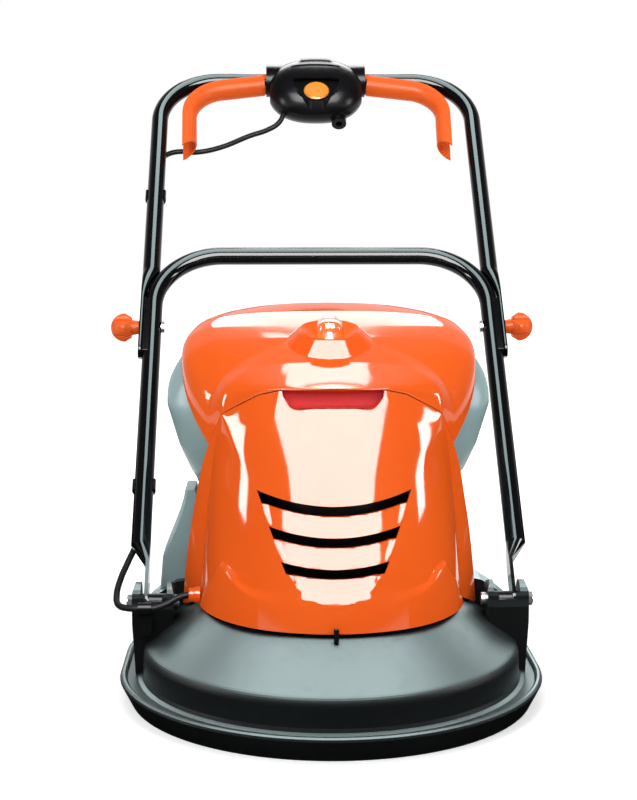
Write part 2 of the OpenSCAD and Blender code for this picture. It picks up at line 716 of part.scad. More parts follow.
module blade() {
    color(steel) difference() {
        translate([0, 0, blade_z]) linear_extrude(spacer_z - blade_z) difference() {
            intersection() {
                square([2 * blade_r, 46], center = true);
                circle(r = blade_r);
            }
            for (side = [0, 180]) rotate([0, 0, side])
                polygon([[60, 12], [90, 17], [blade_r + 5, 17], [blade_r + 5, 30], [60, 30]]);
        }
        translate([0, 0, blade_z - 1]) cylinder(r = 3.1, h = 10);
    }
}

module blade_bolt() {
    color(steel) {
        translate([0, 0, blade_z - 9]) cylinder(r = 8, h = 6, $fn = 6);
        translate([0, 0, blade_z - 3]) cylinder(r = 15, h = 3);
        translate([0, 0, blade_z - 1]) cylinder(r = 3, h = 20);
    }
}

// Grass box: tub, lid and fill indicator
ring_count = 48;
function half_turn(a) = a > 180 ? 360 - a : a;
// Seam height over a point of the plan, taken from the lid's rim beside it
function seam_over(y) = let (b = y < box_mid_y ? box_b : box_rear_b)
    max(-36, seam_drop(acos(max(-1, min(1, (box_mid_y - y) / b)))));
function tub_y(a, z, in) =
    let (f = tub_front(z) + in, r = tub_rear(z) - in) (f + r) / 2 - (r - f) / 2 * cos(a);
function tub_rim(a) = seam_z - gap + seam_over(tub_y(a, seam_z, 0));
// A shoulder over the last part of the height draws the wings in to the lid's rim
shoulder_t = 0.84;
function tub_point(a, t, in) =
    let (z = tub_z + (tub_rim(a) - tub_z) * t, w = tub_w(z),
        draw = pow(max(0, (t - shoulder_t) / (1 - shoulder_t)), 2))
    [(w - (w - box_half_w) * draw - in) * sin(a), tub_y(a, z, in), z + (t == 0 ? in : 0)];
tub_steps = [0, 0.08, 0.2, 0.32, 0.44, 0.52, 0.6, 0.7, 0.78, 0.84, 0.89, 0.93, 0.97, 1];
function tub_grid(in) =
    [for (i = [0:ring_count - 1]) [for (t = tub_steps) tub_point(360 * i / ring_count, t, in)]];

// Ears on the tub that hold the hinge pins
ear_w = 5;
module hinge_ears() {
    for (side = [-1, 1], end = [-1, 1])
        translate([side * hinge_x + end * (hinge_w / 2 + seat + ear_w / 2), hinge_y, 0]) difference() {
            union() {
                translate([0, 0, hinge_z]) along_x(-ear_w / 2, ear_w / 2, knuckle_r);
                translate([-ear_w / 2, -knuckle_r, hinge_z - 14]) cube([ear_w, 2 * knuckle_r, 14]);
                translate([-ear_w / 2, -22, hinge_z - 22]) cube([ear_w, 22 + knuckle_r, 12]);
            }
            translate([0, 0, hinge_z]) along_x(-ear_w, ear_w, hinge_pin_r + run);
        }
}

module grass_tub() {
    color(pale) {
        difference() {
            shell(tub_grid(0), tub_grid(shell_wall), ring = true, floor = true);
            duct_opening();
        }
        hinge_ears();
    }
}

lid_steps = [1, 0.992, 0.975, 0.945, 0.9, 0.84, 0.76, 0.66, 0.54, 0.4, 0.24];
function lid_point(a, k, in) =
    let (x = box_x(a, in) * k, y = box_mid_y + (box_y(a, in) - box_mid_y) * k,
        rim = seam_z + seam_drop(half_turn(a)), rise = pow(1 - pow(k, 4), 1 / 4))
    [x, y, rim + (crown_z(x, y) - in - rim) * rise];
function lid_grid(in) =
    [for (i = [0:ring_count - 1]) [for (k = lid_steps) lid_point(360 * i / ring_count, k, in)]];

bowl_h = 8;
module box_lid() {
    color(orange) {
        difference() {
            union() {
                shell(lid_grid(0), lid_grid(shell_wall), ring = true, roof = true);
                translate([0, cone_y, cone_z - cone_h]) cylinder(r1 = cone_foot_r, r2 = cone_r, h = cone_h);
            }
            translate([0, cone_y, cone_z - cone_h - 20])
                cylinder(r1 = cone_foot_r + 6, r2 = cone_r + 4, h = cone_h + 20 - bowl_h - shell_wall);
            translate([0, cone_y, cone_z - bowl_h])
                cylinder(r1 = dome_r + 4, r2 = cone_r - shell_wall, h = bowl_h + 1);
            translate([0, cone_y, cone_z - 40]) cylinder(r = float_stem_r + run, h = 60);
        }
        for (side = [-1, 1]) translate([side * hinge_x, hinge_y, hinge_z]) difference() {
            union() {
                along_x(-hinge_w / 2, hinge_w / 2, knuckle_r);
                translate([-hinge_w / 2, -24, 0]) cube([hinge_w, 24, knuckle_r]);
            }
            along_x(-hinge_w, hinge_w, hinge_pin_r + run);
        }
    }
}

module hinge_pins() {
    pin_half = hinge_w / 2 + seat + ear_w;
    color(steel) for (side = [-1, 1])
        translate([side * hinge_x, hinge_y, hinge_z]) along_x(-pin_half, pin_half, hinge_pin_r);
}

dome_wall = 1.2;
float_stem_r = 3;
float_head_r = 4.5;
module indicator_dome() {
    color([0.9, 0.95, 0.95, 0.4]) translate([0, cone_y, cone_z - bowl_h]) difference() {
        intersection() {
            sphere(r = dome_r);
            translate([0, 0, dome_r]) cube(2 * dome_r, center = true);
        }
        sphere(r = dome_r - dome_wall);
    }
}

module indicator_float() {
    color("white") translate([0, cone_y, cone_z - bowl_h]) rotate_extrude()
        polygon([[0, -8], [float_stem_r, -8], [float_stem_r, seat], [float_head_r, seat],
            [float_head_r, 2.5], [2.6, 4], [2.6, 5], [3.4, 6], [3, 8], [1.6, 9], [0, 9]]);
}

// Handle pivots on the brackets
module pivot_bolts() {
    color(steel) both_sides() translate([0, pivot_y, pivot_z]) {
        along_x(bracket_in - 5, bracket_in, 7);
        along_x(bracket_in - 1, bracket_out + 7, bolt_r);
    }
}

module pivot_nuts() {
    color(steel) both_sides() translate([bracket_out, pivot_y, pivot_z]) rotate([0, 90, 0]) difference() {
        cylinder(r = 7.5, h = 6, $fn = 6);
        translate([0, 0, -1]) cylinder(r = bolt_r + run, h = 10);
    }
}

module bush(x0, x1) {
    difference() {
        along_x(x0, x1, bolt_r + 4);
        along_x(x0 - 1, x1 + 1, bolt_r + run);
    }
}
module pivot_bushes() {
    slot_in = bracket_in + cheek;
    slot_out = bracket_out - cheek - 2;
    color(black) both_sides() translate([0, pivot_y, pivot_z]) {
        bush(slot_in + seat / 2, tab_x - seat);
        bush(tab_x + tab_t + seat, slot_out - seat / 2);
    }
}

module bracket_clip() {
    color(black) difference() {
        union() {
            translate([0, bracket_front - 13, pivot_z + 1]) along_x(-leg_x + 3, -leg_x + 17, cable_r + 3);
            translate([-leg_x + 3, bracket_front - 11, pivot_z - 29]) cube([14, 11, 30]);
        }
        translate([0, bracket_front - 13, pivot_z + 1]) along_x(-leg_x - 5, -leg_x + 30, cable_r + 0.9);
    }
}

// Bent tube: two legs, two bends and a bar, in the handle's own frame
module tube_section() {
    difference() {
        circle(r = tube_r);
        circle(r = tube_r - tube_wall);
    }
}
module bent_tube(x, from_l, bar_l, bend) {
    both_sides() {
        translate([x, 0, from_l]) linear_extrude(bar_l - bend - from_l) tube_section();
        translate([x - bend, 0, bar_l - bend]) rotate([90, 0, 0])
            rotate_extrude(angle = 90) translate([bend, 0]) tube_section();
    }
    translate([-x + bend, 0, bar_l]) rotate([0, 90, 0]) linear_extrude(2 * (x - bend)) tube_section();
}
// Flattened end of a leg: a rounded plate that swells into the tube
module flat_end(plate_x, plate_t, end_l, plate_l, tube_x, tube_l) {
    translate([0, 0, end_l]) along_x(plate_x, plate_x + plate_t, tube_r);
    translate([plate_x, -tube_r, min(end_l, plate_l)]) cube([plate_t, 2 * tube_r, abs(plate_l - end_l)]);
    hull() {
        translate([plate_x, -tube_r, plate_l - 0.1]) cube([plate_t, 2 * tube_r, 0.1]);
        translate([tube_x, 0, tube_l]) cylinder(r = tube_r, h = 0.1, $fn = 32);
    }
}

tab_tube_l = tab_l + 24;
strap_tube_l = strap_top_l + 30;
module lower_handle() {
    color(black) handle_pose() difference() {
        union() {
            bent_tube(leg_x, tab_tube_l, cross_l, cross_bend_r);
            both_sides() flat_end(tab_x, tab_t, 0, tab_l, leg_x, tab_tube_l);
        }
        both_sides() along_x(tab_x - 1, tab_x + tab_t + 1, bolt_r + run);
        translate([0, 0, knob_l]) both_sides() along_x(leg_x - 20, leg_x + 20, bolt_r + run);
    }
}

module handle_bolts() {
    color(steel) handle_pose() translate([0, 0, knob_l]) both_sides() {
        along_x(leg_x - tube_r - 3.6, leg_x - tube_r, 7.5);
        along_x(leg_x - tube_r - 1, strap_x + strap_t + 17, bolt_r);
    }
}

module upper_handle() {
    color(black) handle_pose() difference() {
        union() {
            bent_tube(upper_x, strap_tube_l, top_l, top_bend_r);
            both_sides()
                flat_end(strap_x, strap_t, strap_end_l + tube_r, strap_top_l, upper_x, strap_tube_l);
        }
        translate([0, 0, knob_l]) both_sides() along_x(strap_x - 1, strap_x + strap_t + 1, bolt_r + run);
    }
}

// Snap clip that holds the cable behind a leg
module leg_clip(x, l) {
    color(black) handle_pose() translate([-x, 0, l]) linear_extrude(14) difference() {
        union() {
            circle(r = tube_r + 2.4);
            translate([0, cable_off]) circle(r = cable_r + 2.2);
        }
        circle(r = tube_r + 0.1);
        translate([0, cable_off]) circle(r = cable_r + 0.15);
        translate([-30, -30]) square([60, 25]);
    }
}
module upper_clip() { leg_clip(upper_x, clip_upper_l); }
module lower_clip() { leg_clip(leg_x, clip_lower_l); }

// Wing knob: a neck and a domed head with four lobes, screwed on the bolt
module knob() {
    neck = 9;
    head = 24;
    handle_pose() translate([strap_x + strap_t + seat, 0, knob_l]) rotate([0, 90, 0]) difference() {
        union() {
            cylinder(r1 = 8, r2 = 10, h = neck + 2);
            intersection() {
                translate([0, 0, neck]) rotate_extrude()
                    polygon(concat([[0, 0], [knob_r * 0.72, 0]], arc(0, 8, knob_r, 0, 75, 6), [[0, head]]));
                translate([0, 0, neck]) linear_extrude(head + 2) union() {
                    circle(r = knob_r * 0.66);
                    for (i = [0:3]) rotate(90 * i + 45) translate([knob_r * 0.58, 0])
                        circle(r = knob_r * 0.42);
                }
            }
        }
        translate([0, 0, -1]) cylinder(r = bolt_r + run, h = 19);
    }
}
module right_knob() { color(orange) knob(); }
module left_knob() { color(orange) mirror([1, 0, 0]) knob(); }

// Switch box on the top bar: an egg hung under the bar, split into a front and a rear shell
module pod_pose() {
    handle_pose() translate([0, 0, top_l]) children();
}
pod_steps = 16;
pod_sides = 28;
function pod_scale(t) = pow(1 - pow(abs(t) * pod_half / (pod_half + 3), 2.5), 0.4545);
module pod_solid(shrink) {
    loft([for (i = [0:pod_steps]) let (t = sin(90 * (2 * i / pod_steps - 1)), s = pod_scale(t))
        [for (j = [0:pod_sides - 1]) let (k = 360 * (j + 0.5) / pod_sides)
            [t * (pod_half - shrink), (pod_b * s - shrink) * sin(k),
                (pod_a * s - shrink) * cos(k) - pod_drop]]]);
}

screw_x = 40;
screw_z = -34;
inlet_x = 31;
inlet_y = 8;
inlet_r = 10;
// Ribs that clamp the bar, posts for the screws and the switch, and bosses for the lever pins
module pod_posts() {
    both_sides() {
        translate([26, -60, -100]) cube([4, 120, 200]);
        translate([screw_x, 0, screw_z]) rotate([90, 0, 0]) cylinder(r = 4.5, h = 90, center = true);
        for (end = [0, 1]) mirror([0, end, 0]) translate([lever_pin_x, web_out + 1.5, lever_pin_z])
            rotate([-90, 0, 0]) cylinder(r = 4.5, h = 30);
    }
    translate([0, -switch_back + seat, button_z]) rotate([-90, 0, 0]) cylinder(r = 6, h = 40);
    translate([0, 3 - recess_floor, 0]) rotate([90, 0, 0]) linear_extrude(3) recess(3);
}
// Outline of the recess round the button: a half round under a straight brow
module recess(grow) {
    intersection() {
        translate([0, recess_top]) circle(r = recess_r + grow);
        translate([-60, recess_top - 80]) square([120, 80 + grow]);
    }
}
module button_axis() {
    translate([0, 0, button_z]) rotate([90, 0, 0]) children();
}

module pod_shell() {
    difference() {
        union() {
            difference() {
                pod_solid(0);
                pod_solid(pod_wall);
            }
            both_sides() along_x(collar_x, collar_end, collar_r);
            button_axis() translate([0, 0, 4]) cylinder(r = button_r + 4, h = button_collar - 4);
            intersection() {
                pod_solid(1);
                pod_posts();
            }
        }
        along_x(-100, 100, tube_r + seat / 2);
        both_sides() {
            along_x(collar_x - 1, collar_end + 2, collar_bore);
            translate([40, -web_out - 0.6, -26]) cube([18.5, 2 * web_out + 1.2, 31]);
            translate([lever_pin_x, 0, lever_pin_z]) rotate([90, 0, 0])
                cylinder(r = lever_pin_r + run, h = 46, center = true);
            translate([screw_x, 0, screw_z]) rotate([-90, 0, 0]) {
                translate([0, 0, -14]) cylinder(r = 1.5 + run, h = 60);
                translate([0, 0, 22]) cylinder(r = 3.4, h = 30);
            }
        }
        // Recess above the button's collar, left standing round the button
        difference() {
            translate([0, -recess_floor, 0]) rotate([90, 0, 0]) linear_extrude(40) recess(0);
            button_axis() cylinder(r = button_r + 4, h = button_collar);
        }
        button_axis() {
            cylinder(r = button_r + seat, h = 60);
            translate([0, 0, 3]) cylinder(r = button_r + 2.2, h = flange_face - 3);
        }
        translate([-exit_x, exit_y, -80]) cylinder(r = cable_r + seat, h = 34);
        translate([inlet_x, inlet_y, -90]) cylinder(r = inlet_r + seat / 2, h = 34);
    }
}
module switch_front() {
    color(black) pod_pose() intersection() {
        pod_shell();
        translate([-100, -100, -100]) cube([200, 100 - 0.1, 200]);
    }
}
module switch_rear() {
    color(black) pod_pose() intersection() {
        pod_shell();
        translate([-100, 0.1, -100]) cube([200, 100, 200]);
    }
}
module pod_screws() {
    color(steel) pod_pose() both_sides() translate([screw_x, 0, screw_z]) rotate([-90, 0, 0]) {
        translate([0, 0, -12]) cylinder(r = 1.5, h = 34);
        translate([0, 0, 22]) cylinder(r = 3, h = 2.5);
    }
}
module microswitch() {
    color(black) pod_pose() translate([-13, -switch_face, button_z - 8])
        cube([26, switch_face - switch_back, 16]);
}

button_flange = flange_face - seat;
button_stem_end = switch_face + button_travel + 0.5;
module start_button() {
    color([0.97, 0.55, 0.12]) pod_pose() button_axis() {
        translate([0, 0, button_flange - 2.5]) cylinder(r = button_r + 1.8, h = 2.5);
        translate([0, 0, button_flange - 1]) cylinder(r = button_r, h = button_face - button_flange - 1);
        translate([0, 0, button_face - 2]) cylinder(r1 = button_r, r2 = button_r - 2, h = 2);
        translate([0, 0, button_stem_end]) cylinder(r = 4, h = button_flange - 1 - button_stem_end);
    }
}
module button_spring() {
    color(steel) pod_pose() button_axis() difference() {
        translate([0, 0, switch_face + 0.1])
            cylinder(r = 7, h = button_flange - 2.6 - switch_face - 0.1);
        cylinder(r = 5, h = 60);
    }
}
module mains_inlet() {
    color(black) pod_pose() translate([inlet_x, inlet_y, 0]) difference() {
        translate([0, 0, -77]) cylinder(r = inlet_r, h = 20);
        translate([0, 0, -78]) cylinder(r = 4.5, h = 14);
    }
}

// Levers: channels that close round the bar when squeezed, drawn squeezed and swung open
module lever_pins() {
    color(steel) handle_pose() for (side = [-1, 1]) translate([side * lever_pin_x, 0, top_l + lever_pin_z])
        rotate([90, 0, 0]) cylinder(r = lever_pin_r, h = 44, center = true);
}
module lever_springs() {
    color(steel) handle_pose() for (side = [-1, 1]) translate([side * lever_pin_x, 0, top_l + lever_pin_z])
        rotate([90, 0, 0]) difference() {
            cylinder(r = lever_pin_r + 2, h = 16, center = true);
            cylinder(r = lever_pin_r + run, h = 20, center = true);
        }
}
// Open section round the bar; the bent length is drawn a little thinner, to lie inside the straight one
module lever_section(thin) {
    difference() {
        circle(r = web_out - thin);
        circle(r = web_in + thin);
        translate([4 - thin, -web_out - 1]) square(2 * web_out + 2);
    }
}
module lever() {
    handle_pose() translate([lever_pin_x, 0, top_l + lever_pin_z]) rotate([0, lever_open, 0])
        translate([-lever_pin_x, 0, -lever_pin_z]) difference() {
            union() {
                translate([lever_root, 0, lever_mid]) rotate([90, 0, 90])
                    linear_extrude(lever_bend_x - lever_root + 1) rotate(90) lever_section(0);
                lever_bend() {
                    rotate_extrude(angle = lever_arc) translate([lever_bend_r, 0]) lever_section(0.2);
                    translate([lever_bend_r, 1, 0]) rotate([90, 0, 0])
                        linear_extrude(lever_leg + 1) lever_section(0);
                }
                for (end = [0, 1]) mirror([0, end, 0]) translate([0, web_out - 0.4, 0]) rotate([90, 0, 0])
                    linear_extrude(channel_wall) {
                        translate([lever_pin_x, lever_pin_z]) circle(r = 5.5);
                        polygon([[lever_pin_x, lever_pin_z - 5.5], [lever_pin_x + 6, lever_pin_z - 1],
                            [lever_pin_x + 11, -7], [lever_root + 3, -8], [lever_root + 3, 1],
                            [lever_pin_x + 11, 2], [lever_pin_x - 4, lever_pin_z + 4]]);
                    }
            }
            translate([lever_pin_x, 0, lever_pin_z]) rotate([90, 0, 0])
                cylinder(r = lever_pin_r + run, h = 60, center = true);
            // Slanted cut across the free end, longer on the outside
            lever_bend() translate([lever_bend_r + 5, -lever_leg, -20]) rotate([0, 0, -38])
                translate([-60, -60, 0]) cube([120, 60, 40]);
        }
}
// Frame of the lever's bend: x outwards at its far end, y back along the bend
module lever_bend() {
    translate([lever_bend_x, 0, lever_mid - lever_bend_r]) rotate([90, 0, 0]) rotate([0, 0, 90 - lever_arc])
        children();
}
module right_lever() { color(orange) lever(); }
module left_lever() { color(orange) mirror([1, 0, 0]) lever(); }

// Motor cable, in the stretches that its clips hold
module cable_upper() { color(black) handle_pose() tube(upper_route, cable_r); }
module cable_fold() { color(black) handle_pose() tube(fold_route, cable_r); }
module cable_lower() { color(black) handle_pose() tube(lower_route, cable_r); }
module cable_loop() { color(black) tube(loop_route, cable_r, 12); }

deck();
rear_housing();
motor_cowl();
cowl_clip();
cable_gland();
intake_baffle();
grass_duct();
motor_cover();
motor_mount();
motor_can();
stator();
end_cap();
brushes();
upper_bearing();
lower_bearing();
motor_screws();
terminal_block();
motor_shaft();
armature();
commutator();
impeller();
blade_spacer();
blade();
blade_bolt();
grass_tub();
box_lid();
hinge_pins();
indicator_dome();
indicator_float();
pivot_bolts();
pivot_nuts();
pivot_bushes();
bracket_clip();
lower_handle();
handle_bolts();
lower_clip();
upper_handle();
upper_clip();
left_knob();
right_knob();
switch_front();
switch_rear();
pod_screws();
microswitch();
start_button();
button_spring();
mains_inlet();
lever_pins();
lever_springs();
left_lever();
right_lever();
cable_upper();
cable_fold();
cable_lower();
cable_loop();
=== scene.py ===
import math

import bmesh
import bpy
from mathutils import Matrix, Vector


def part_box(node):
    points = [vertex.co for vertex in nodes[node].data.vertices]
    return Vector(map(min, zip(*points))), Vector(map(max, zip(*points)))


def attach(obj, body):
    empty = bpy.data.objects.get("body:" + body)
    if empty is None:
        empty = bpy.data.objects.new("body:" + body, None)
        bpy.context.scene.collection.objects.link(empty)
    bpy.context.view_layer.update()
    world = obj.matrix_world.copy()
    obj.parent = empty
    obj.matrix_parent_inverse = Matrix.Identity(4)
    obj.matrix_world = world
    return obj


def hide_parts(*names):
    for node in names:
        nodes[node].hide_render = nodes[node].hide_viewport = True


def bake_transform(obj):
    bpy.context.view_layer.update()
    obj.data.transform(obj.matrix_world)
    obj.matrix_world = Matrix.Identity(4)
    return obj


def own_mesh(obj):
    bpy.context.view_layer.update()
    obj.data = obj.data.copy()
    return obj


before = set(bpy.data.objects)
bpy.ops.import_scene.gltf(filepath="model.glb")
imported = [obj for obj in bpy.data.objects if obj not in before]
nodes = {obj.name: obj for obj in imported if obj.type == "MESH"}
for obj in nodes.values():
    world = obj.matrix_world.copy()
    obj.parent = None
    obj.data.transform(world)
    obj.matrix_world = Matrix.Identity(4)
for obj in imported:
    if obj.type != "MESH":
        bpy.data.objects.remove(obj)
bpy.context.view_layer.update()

# Studio: a white sweep and a long lens in front of the mower, at the height of its handle.
# Soft lamps light it evenly, and bright cards stand where the glossy covers mirror them.
FOCAL_PIXELS = 1600.0
PICTURE_HEIGHT = 800.0
SENSOR = 36.0
CAMERA_PLACE = (-0.063, -1.6626, 0.5485)
CAMERA_TILT = 82.0
CAMERA_TURN = -1.71
camera_data = bpy.data.cameras.new("camera")
camera_data.sensor_width = SENSOR
camera_data.lens = FOCAL_PIXELS / PICTURE_HEIGHT * SENSOR
camera = bpy.data.objects.new("camera", camera_data)
camera.location = CAMERA_PLACE
camera.rotation_euler = (math.radians(CAMERA_TILT), 0.0, math.radians(CAMERA_TURN))
bpy.context.scene.collection.objects.link(camera)
bpy.context.scene.camera = camera
bpy.context.scene.view_settings.view_transform = "Standard"


def aim(spot, target):
    """Turns a lamp's face to a point."""
    direction = Vector(target) - spot.location
    spot.rotation_euler = direction.to_track_quat("-Z", "Y").to_euler()


def lamp(name, place, target, width, height, power, card=False):
    """Soft lamp that only lights, or a bright card that only shows in glossy faces."""
    data = bpy.data.lights.new(name, "AREA")
    data.shape = "RECTANGLE"
    data.size = width
    data.size_y = height
    data.energy = power
    spot = bpy.data.objects.new(name, data)
    spot.location = place
    aim(spot, target)
    spot.visible_camera = False
    spot.visible_diffuse = not card
    spot.visible_glossy = card
    bpy.context.scene.collection.objects.link(spot)
    return spot


lamp("key_lamp", (-1.2, -1.8, 2.2), (0, 0, 0.25), 1.4, 1.4, 30)
lamp("fill_lamp", (1.6, -1.6, 1.4), (0, 0, 0.25), 1.4, 1.4, 18)
lamp("top_lamp", (0, 0.3, 2.4), (0, 0.1, 0.2), 1.8, 1.4, 19)
front_card = lamp("front_card", (0.0, -0.88, 1.07), (0, 0, 0.25), 1.70, 0.92, 146, card=True)
rear_card = lamp("rear_card", (0.02, 1.24, 1.29), (0, 0.05, 0.37), 0.86, 0.43, 8.0, card=True)
rear_card.data.shape = "ELLIPSE"
lamp("patch_card", (0.036, 1.03, 1.56), (0, 0.05, 0.37), 0.31, 0.17, 1.6, card=True)
for side in (-1, 1):
    lamp("side_card", (side * 1.25, -0.10, 0.55), (0, 0, 0.28), 0.20, 0.42, 7.5, card=True)

world = bpy.data.worlds.new("studio")
bpy.context.scene.world = world
world.use_nodes = True
world_tree = world.node_tree
world_background = world_tree.nodes["Background"]
world_background.inputs["Color"].default_value = (1.0, 1.0, 1.0, 1.0)


def seen_mask(tree):
    """Mask of the rays that show the backdrop itself: from the camera, a mirror or glass."""
    path = tree.nodes.new("ShaderNodeLightPath")
    first = tree.nodes.new("ShaderNodeMath")
    first.operation = "MAXIMUM"
    second = tree.nodes.new("ShaderNodeMath")
    second.operation = "MAXIMUM"
    tree.links.new(path.outputs["Is Camera Ray"], first.inputs[0])
    tree.links.new(path.outputs["Is Glossy Ray"], first.inputs[1])
    tree.links.new(first.outputs[0], second.inputs[0])
    tree.links.new(path.outputs["Is Transmission Ray"], second.inputs[1])
    return second.outputs[0]


# The backdrop stands behind the mower: glossy pieces show a dim room in front of it
WORLD_LIGHT = 0.42
ROOM_LEVEL = 0.10
BACKDROP_FROM = 0.30
BACKDROP_TO = 0.85
world_place = world_tree.nodes.new("ShaderNodeTexCoord")
world_split = world_tree.nodes.new("ShaderNodeSeparateXYZ")
world_tree.links.new(world_place.outputs["Generated"], world_split.inputs[0])
world_depth = world_tree.nodes.new("ShaderNodeMapRange")
world_depth.inputs["From Min"].default_value = BACKDROP_FROM
world_depth.inputs["From Max"].default_value = BACKDROP_TO
world_depth.inputs["To Min"].default_value = ROOM_LEVEL
world_depth.inputs["To Max"].default_value = 1.0
world_tree.links.new(world_split.outputs["Y"], world_depth.inputs["Value"])
world_strength = world_tree.nodes.new("ShaderNodeMapRange")
world_strength.inputs["To Min"].default_value = WORLD_LIGHT
world_tree.links.new(world_depth.outputs["Result"], world_strength.inputs["To Max"])
world_tree.links.new(seen_mask(world_tree), world_strength.inputs["Value"])
world_path = world_tree.nodes.new("ShaderNodeLightPath")
world_level = world_tree.nodes.new("ShaderNodeMath")
world_level.operation = "MAXIMUM"
world_tree.links.new(world_strength.outputs["Result"], world_level.inputs[0])
world_tree.links.new(world_path.outputs["Is Camera Ray"], world_level.inputs[1])
world_tree.links.new(world_level.outputs[0], world_background.inputs["Strength"])


flag_cloth = bpy.data.materials.new("flag_cloth")
flag_cloth.use_nodes = True
cloth_shader = flag_cloth.node_tree.nodes["Principled BSDF"]
cloth_shader.inputs["Base Color"].default_value = (0.004, 0.004, 0.004, 1)
cloth_shader.inputs["Specular IOR Level"].default_value = 0.0


def flag(name, place, turn_axis, width, height):
    """Black cloth that only mirrors see: it keeps the paper's glow off the covers' sides."""
    mesh = bmesh.new()
    bmesh.ops.create_grid(mesh, x_segments=1, y_segments=1, size=0.5,
                          matrix=Matrix.Translation(place) @ Matrix.Rotation(math.pi / 2, 4, turn_axis)
                          @ Matrix.Diagonal((width, height, 1, 1)))
    data = bpy.data.meshes.new(name)
    mesh.to_mesh(data)
    mesh.free()
    data.materials.append(flag_cloth)
    cloth = bpy.data.objects.new(name, data)
    bpy.context.scene.collection.objects.link(cloth)
    cloth.visible_camera = False
    cloth.visible_diffuse = False
    cloth.visible_transmission = False
    cloth.visible_shadow = False


flag("left_flag", (-0.50, 0.40, 0.125), "Y", 0.25, 1.5)
flag("right_flag", (0.50, 0.40, 0.125), "Y", 0.25, 1.5)
flag("front_flag", (0.0, -0.9, 0.0005), "Z", 2.4, 2.4)

FLOOR_SIZE = 6.0
FLOOR_Z = -0.0005
floor_mesh = bmesh.new()
bmesh.ops.create_grid(floor_mesh, x_segments=1, y_segments=1, size=FLOOR_SIZE,
                      matrix=Matrix.Translation((0, 0, FLOOR_Z)))
floor_data = bpy.data.meshes.new("floor")
floor_mesh.to_mesh(floor_data)
floor_mesh.free()
floor = bpy.data.objects.new("floor", floor_data)
bpy.context.scene.collection.objects.link(floor)
paper = bpy.data.materials.new("paper_sweep")
paper.use_nodes = True
paper_shader = paper.node_tree.nodes["Principled BSDF"]
paper_shader.inputs["Base Color"].default_value = (0.9, 0.9, 0.9, 1)
paper_shader.inputs["Roughness"].default_value = 0.9
paper_shader.inputs["Specular IOR Level"].default_value = 0.0
paper_shader.inputs["Emission Color"].default_value = (1, 1, 1, 1)
# The paper brightens to the backdrop's white away from the mower
PAPER_NEAR = 0.35
PAPER_FAR = 1.3
PAPER_DIM = 0.45
paper_place = paper.node_tree.nodes.new("ShaderNodeTexCoord")
paper_far = paper.node_tree.nodes.new("ShaderNodeVectorMath")
paper_far.operation = "LENGTH"
paper_level = paper.node_tree.nodes.new("ShaderNodeMapRange")
paper_level.inputs["From Min"].default_value = PAPER_NEAR
paper_level.inputs["From Max"].default_value = PAPER_FAR
paper_level.inputs["To Min"].default_value = PAPER_DIM
paper_level.inputs["To Max"].default_value = 1.0
paper_glow = paper.node_tree.nodes.new("ShaderNodeMath")
paper_glow.operation = "MULTIPLY"
paper.node_tree.links.new(paper_place.outputs["Object"], paper_far.inputs[0])
paper.node_tree.links.new(paper_far.outputs["Value"], paper_level.inputs["Value"])
paper.node_tree.links.new(paper_level.outputs["Result"], paper_glow.inputs[1])
paper.node_tree.links.new(seen_mask(paper.node_tree), paper_glow.inputs[0])
paper.node_tree.links.new(paper_glow.outputs[0], paper_shader.inputs["Emission Strength"])
floor_data.materials.append(paper)

# Hood: one large moulding in charcoal plastic with a flared rim, a shoulder and two handle brackets.
# The rear hump is a second moulding of the same plastic, seated on the hood behind the motor.


def node_group(name, inputs, outputs):
    """Empty shader group with its named sockets."""
    group = bpy.data.node_groups.new(name, "ShaderNodeTree")
    for label, kind in inputs:
        group.interface.new_socket(label, in_out="INPUT", socket_type=kind)
    for label, kind in outputs:
        group.interface.new_socket(label, in_out="OUTPUT", socket_type=kind)
    return group, group.nodes.new("NodeGroupInput"), group.nodes.new("NodeGroupOutput")


# Moulded skin: slow drift of colour, fine pitting from the tool's texture, and handling marks
skin, skin_in, skin_out = node_group(
    "moulded_skin",
    [("Color", "NodeSocketColor"), ("Deep Color", "NodeSocketColor"), ("Roughness", "NodeSocketFloat"),
     ("Pit Scale", "NodeSocketFloat"), ("Scuff", "NodeSocketFloat")],
    [("Color", "NodeSocketColor"), ("Roughness", "NodeSocketFloat"), ("Height", "NodeSocketFloat")])
skin_place = skin.nodes.new("ShaderNodeTexCoord")
drift = skin.nodes.new("ShaderNodeTexNoise")
drift.inputs["Scale"].default_value = 9.0
drift.inputs["Detail"].default_value = 3.0
pits = skin.nodes.new("ShaderNodeTexNoise")
pits.inputs["Detail"].default_value = 2.0
marks = skin.nodes.new("ShaderNodeTexNoise")
marks.inputs["Scale"].default_value = 60.0
marks.inputs["Detail"].default_value = 6.0
marks.inputs["Distortion"].default_value = 1.5
for texture in (drift, pits, marks):
    skin.links.new(skin_place.outputs["Object"], texture.inputs["Vector"])
skin.links.new(skin_in.outputs["Pit Scale"], pits.inputs["Scale"])
drift_range = skin.nodes.new("ShaderNodeMapRange")
drift_range.inputs["From Min"].default_value = 0.35
drift_range.inputs["From Max"].default_value = 0.75
skin.links.new(drift.outputs["Fac"], drift_range.inputs["Value"])
skin_mix = skin.nodes.new("ShaderNodeMix")
skin_mix.data_type = "RGBA"
skin.links.new(drift_range.outputs["Result"], skin_mix.inputs["Factor"])
skin.links.new(skin_in.outputs["Color"], skin_mix.inputs["A"])
skin.links.new(skin_in.outputs["Deep Color"], skin_mix.inputs["B"])
skin.links.new(skin_mix.outputs["Result"], skin_out.inputs["Color"])
marks_range = skin.nodes.new("ShaderNodeMapRange")
marks_range.inputs["From Min"].default_value = 0.5
marks_range.inputs["From Max"].default_value = 0.8
skin.links.new(marks.outputs["Fac"], marks_range.inputs["Value"])
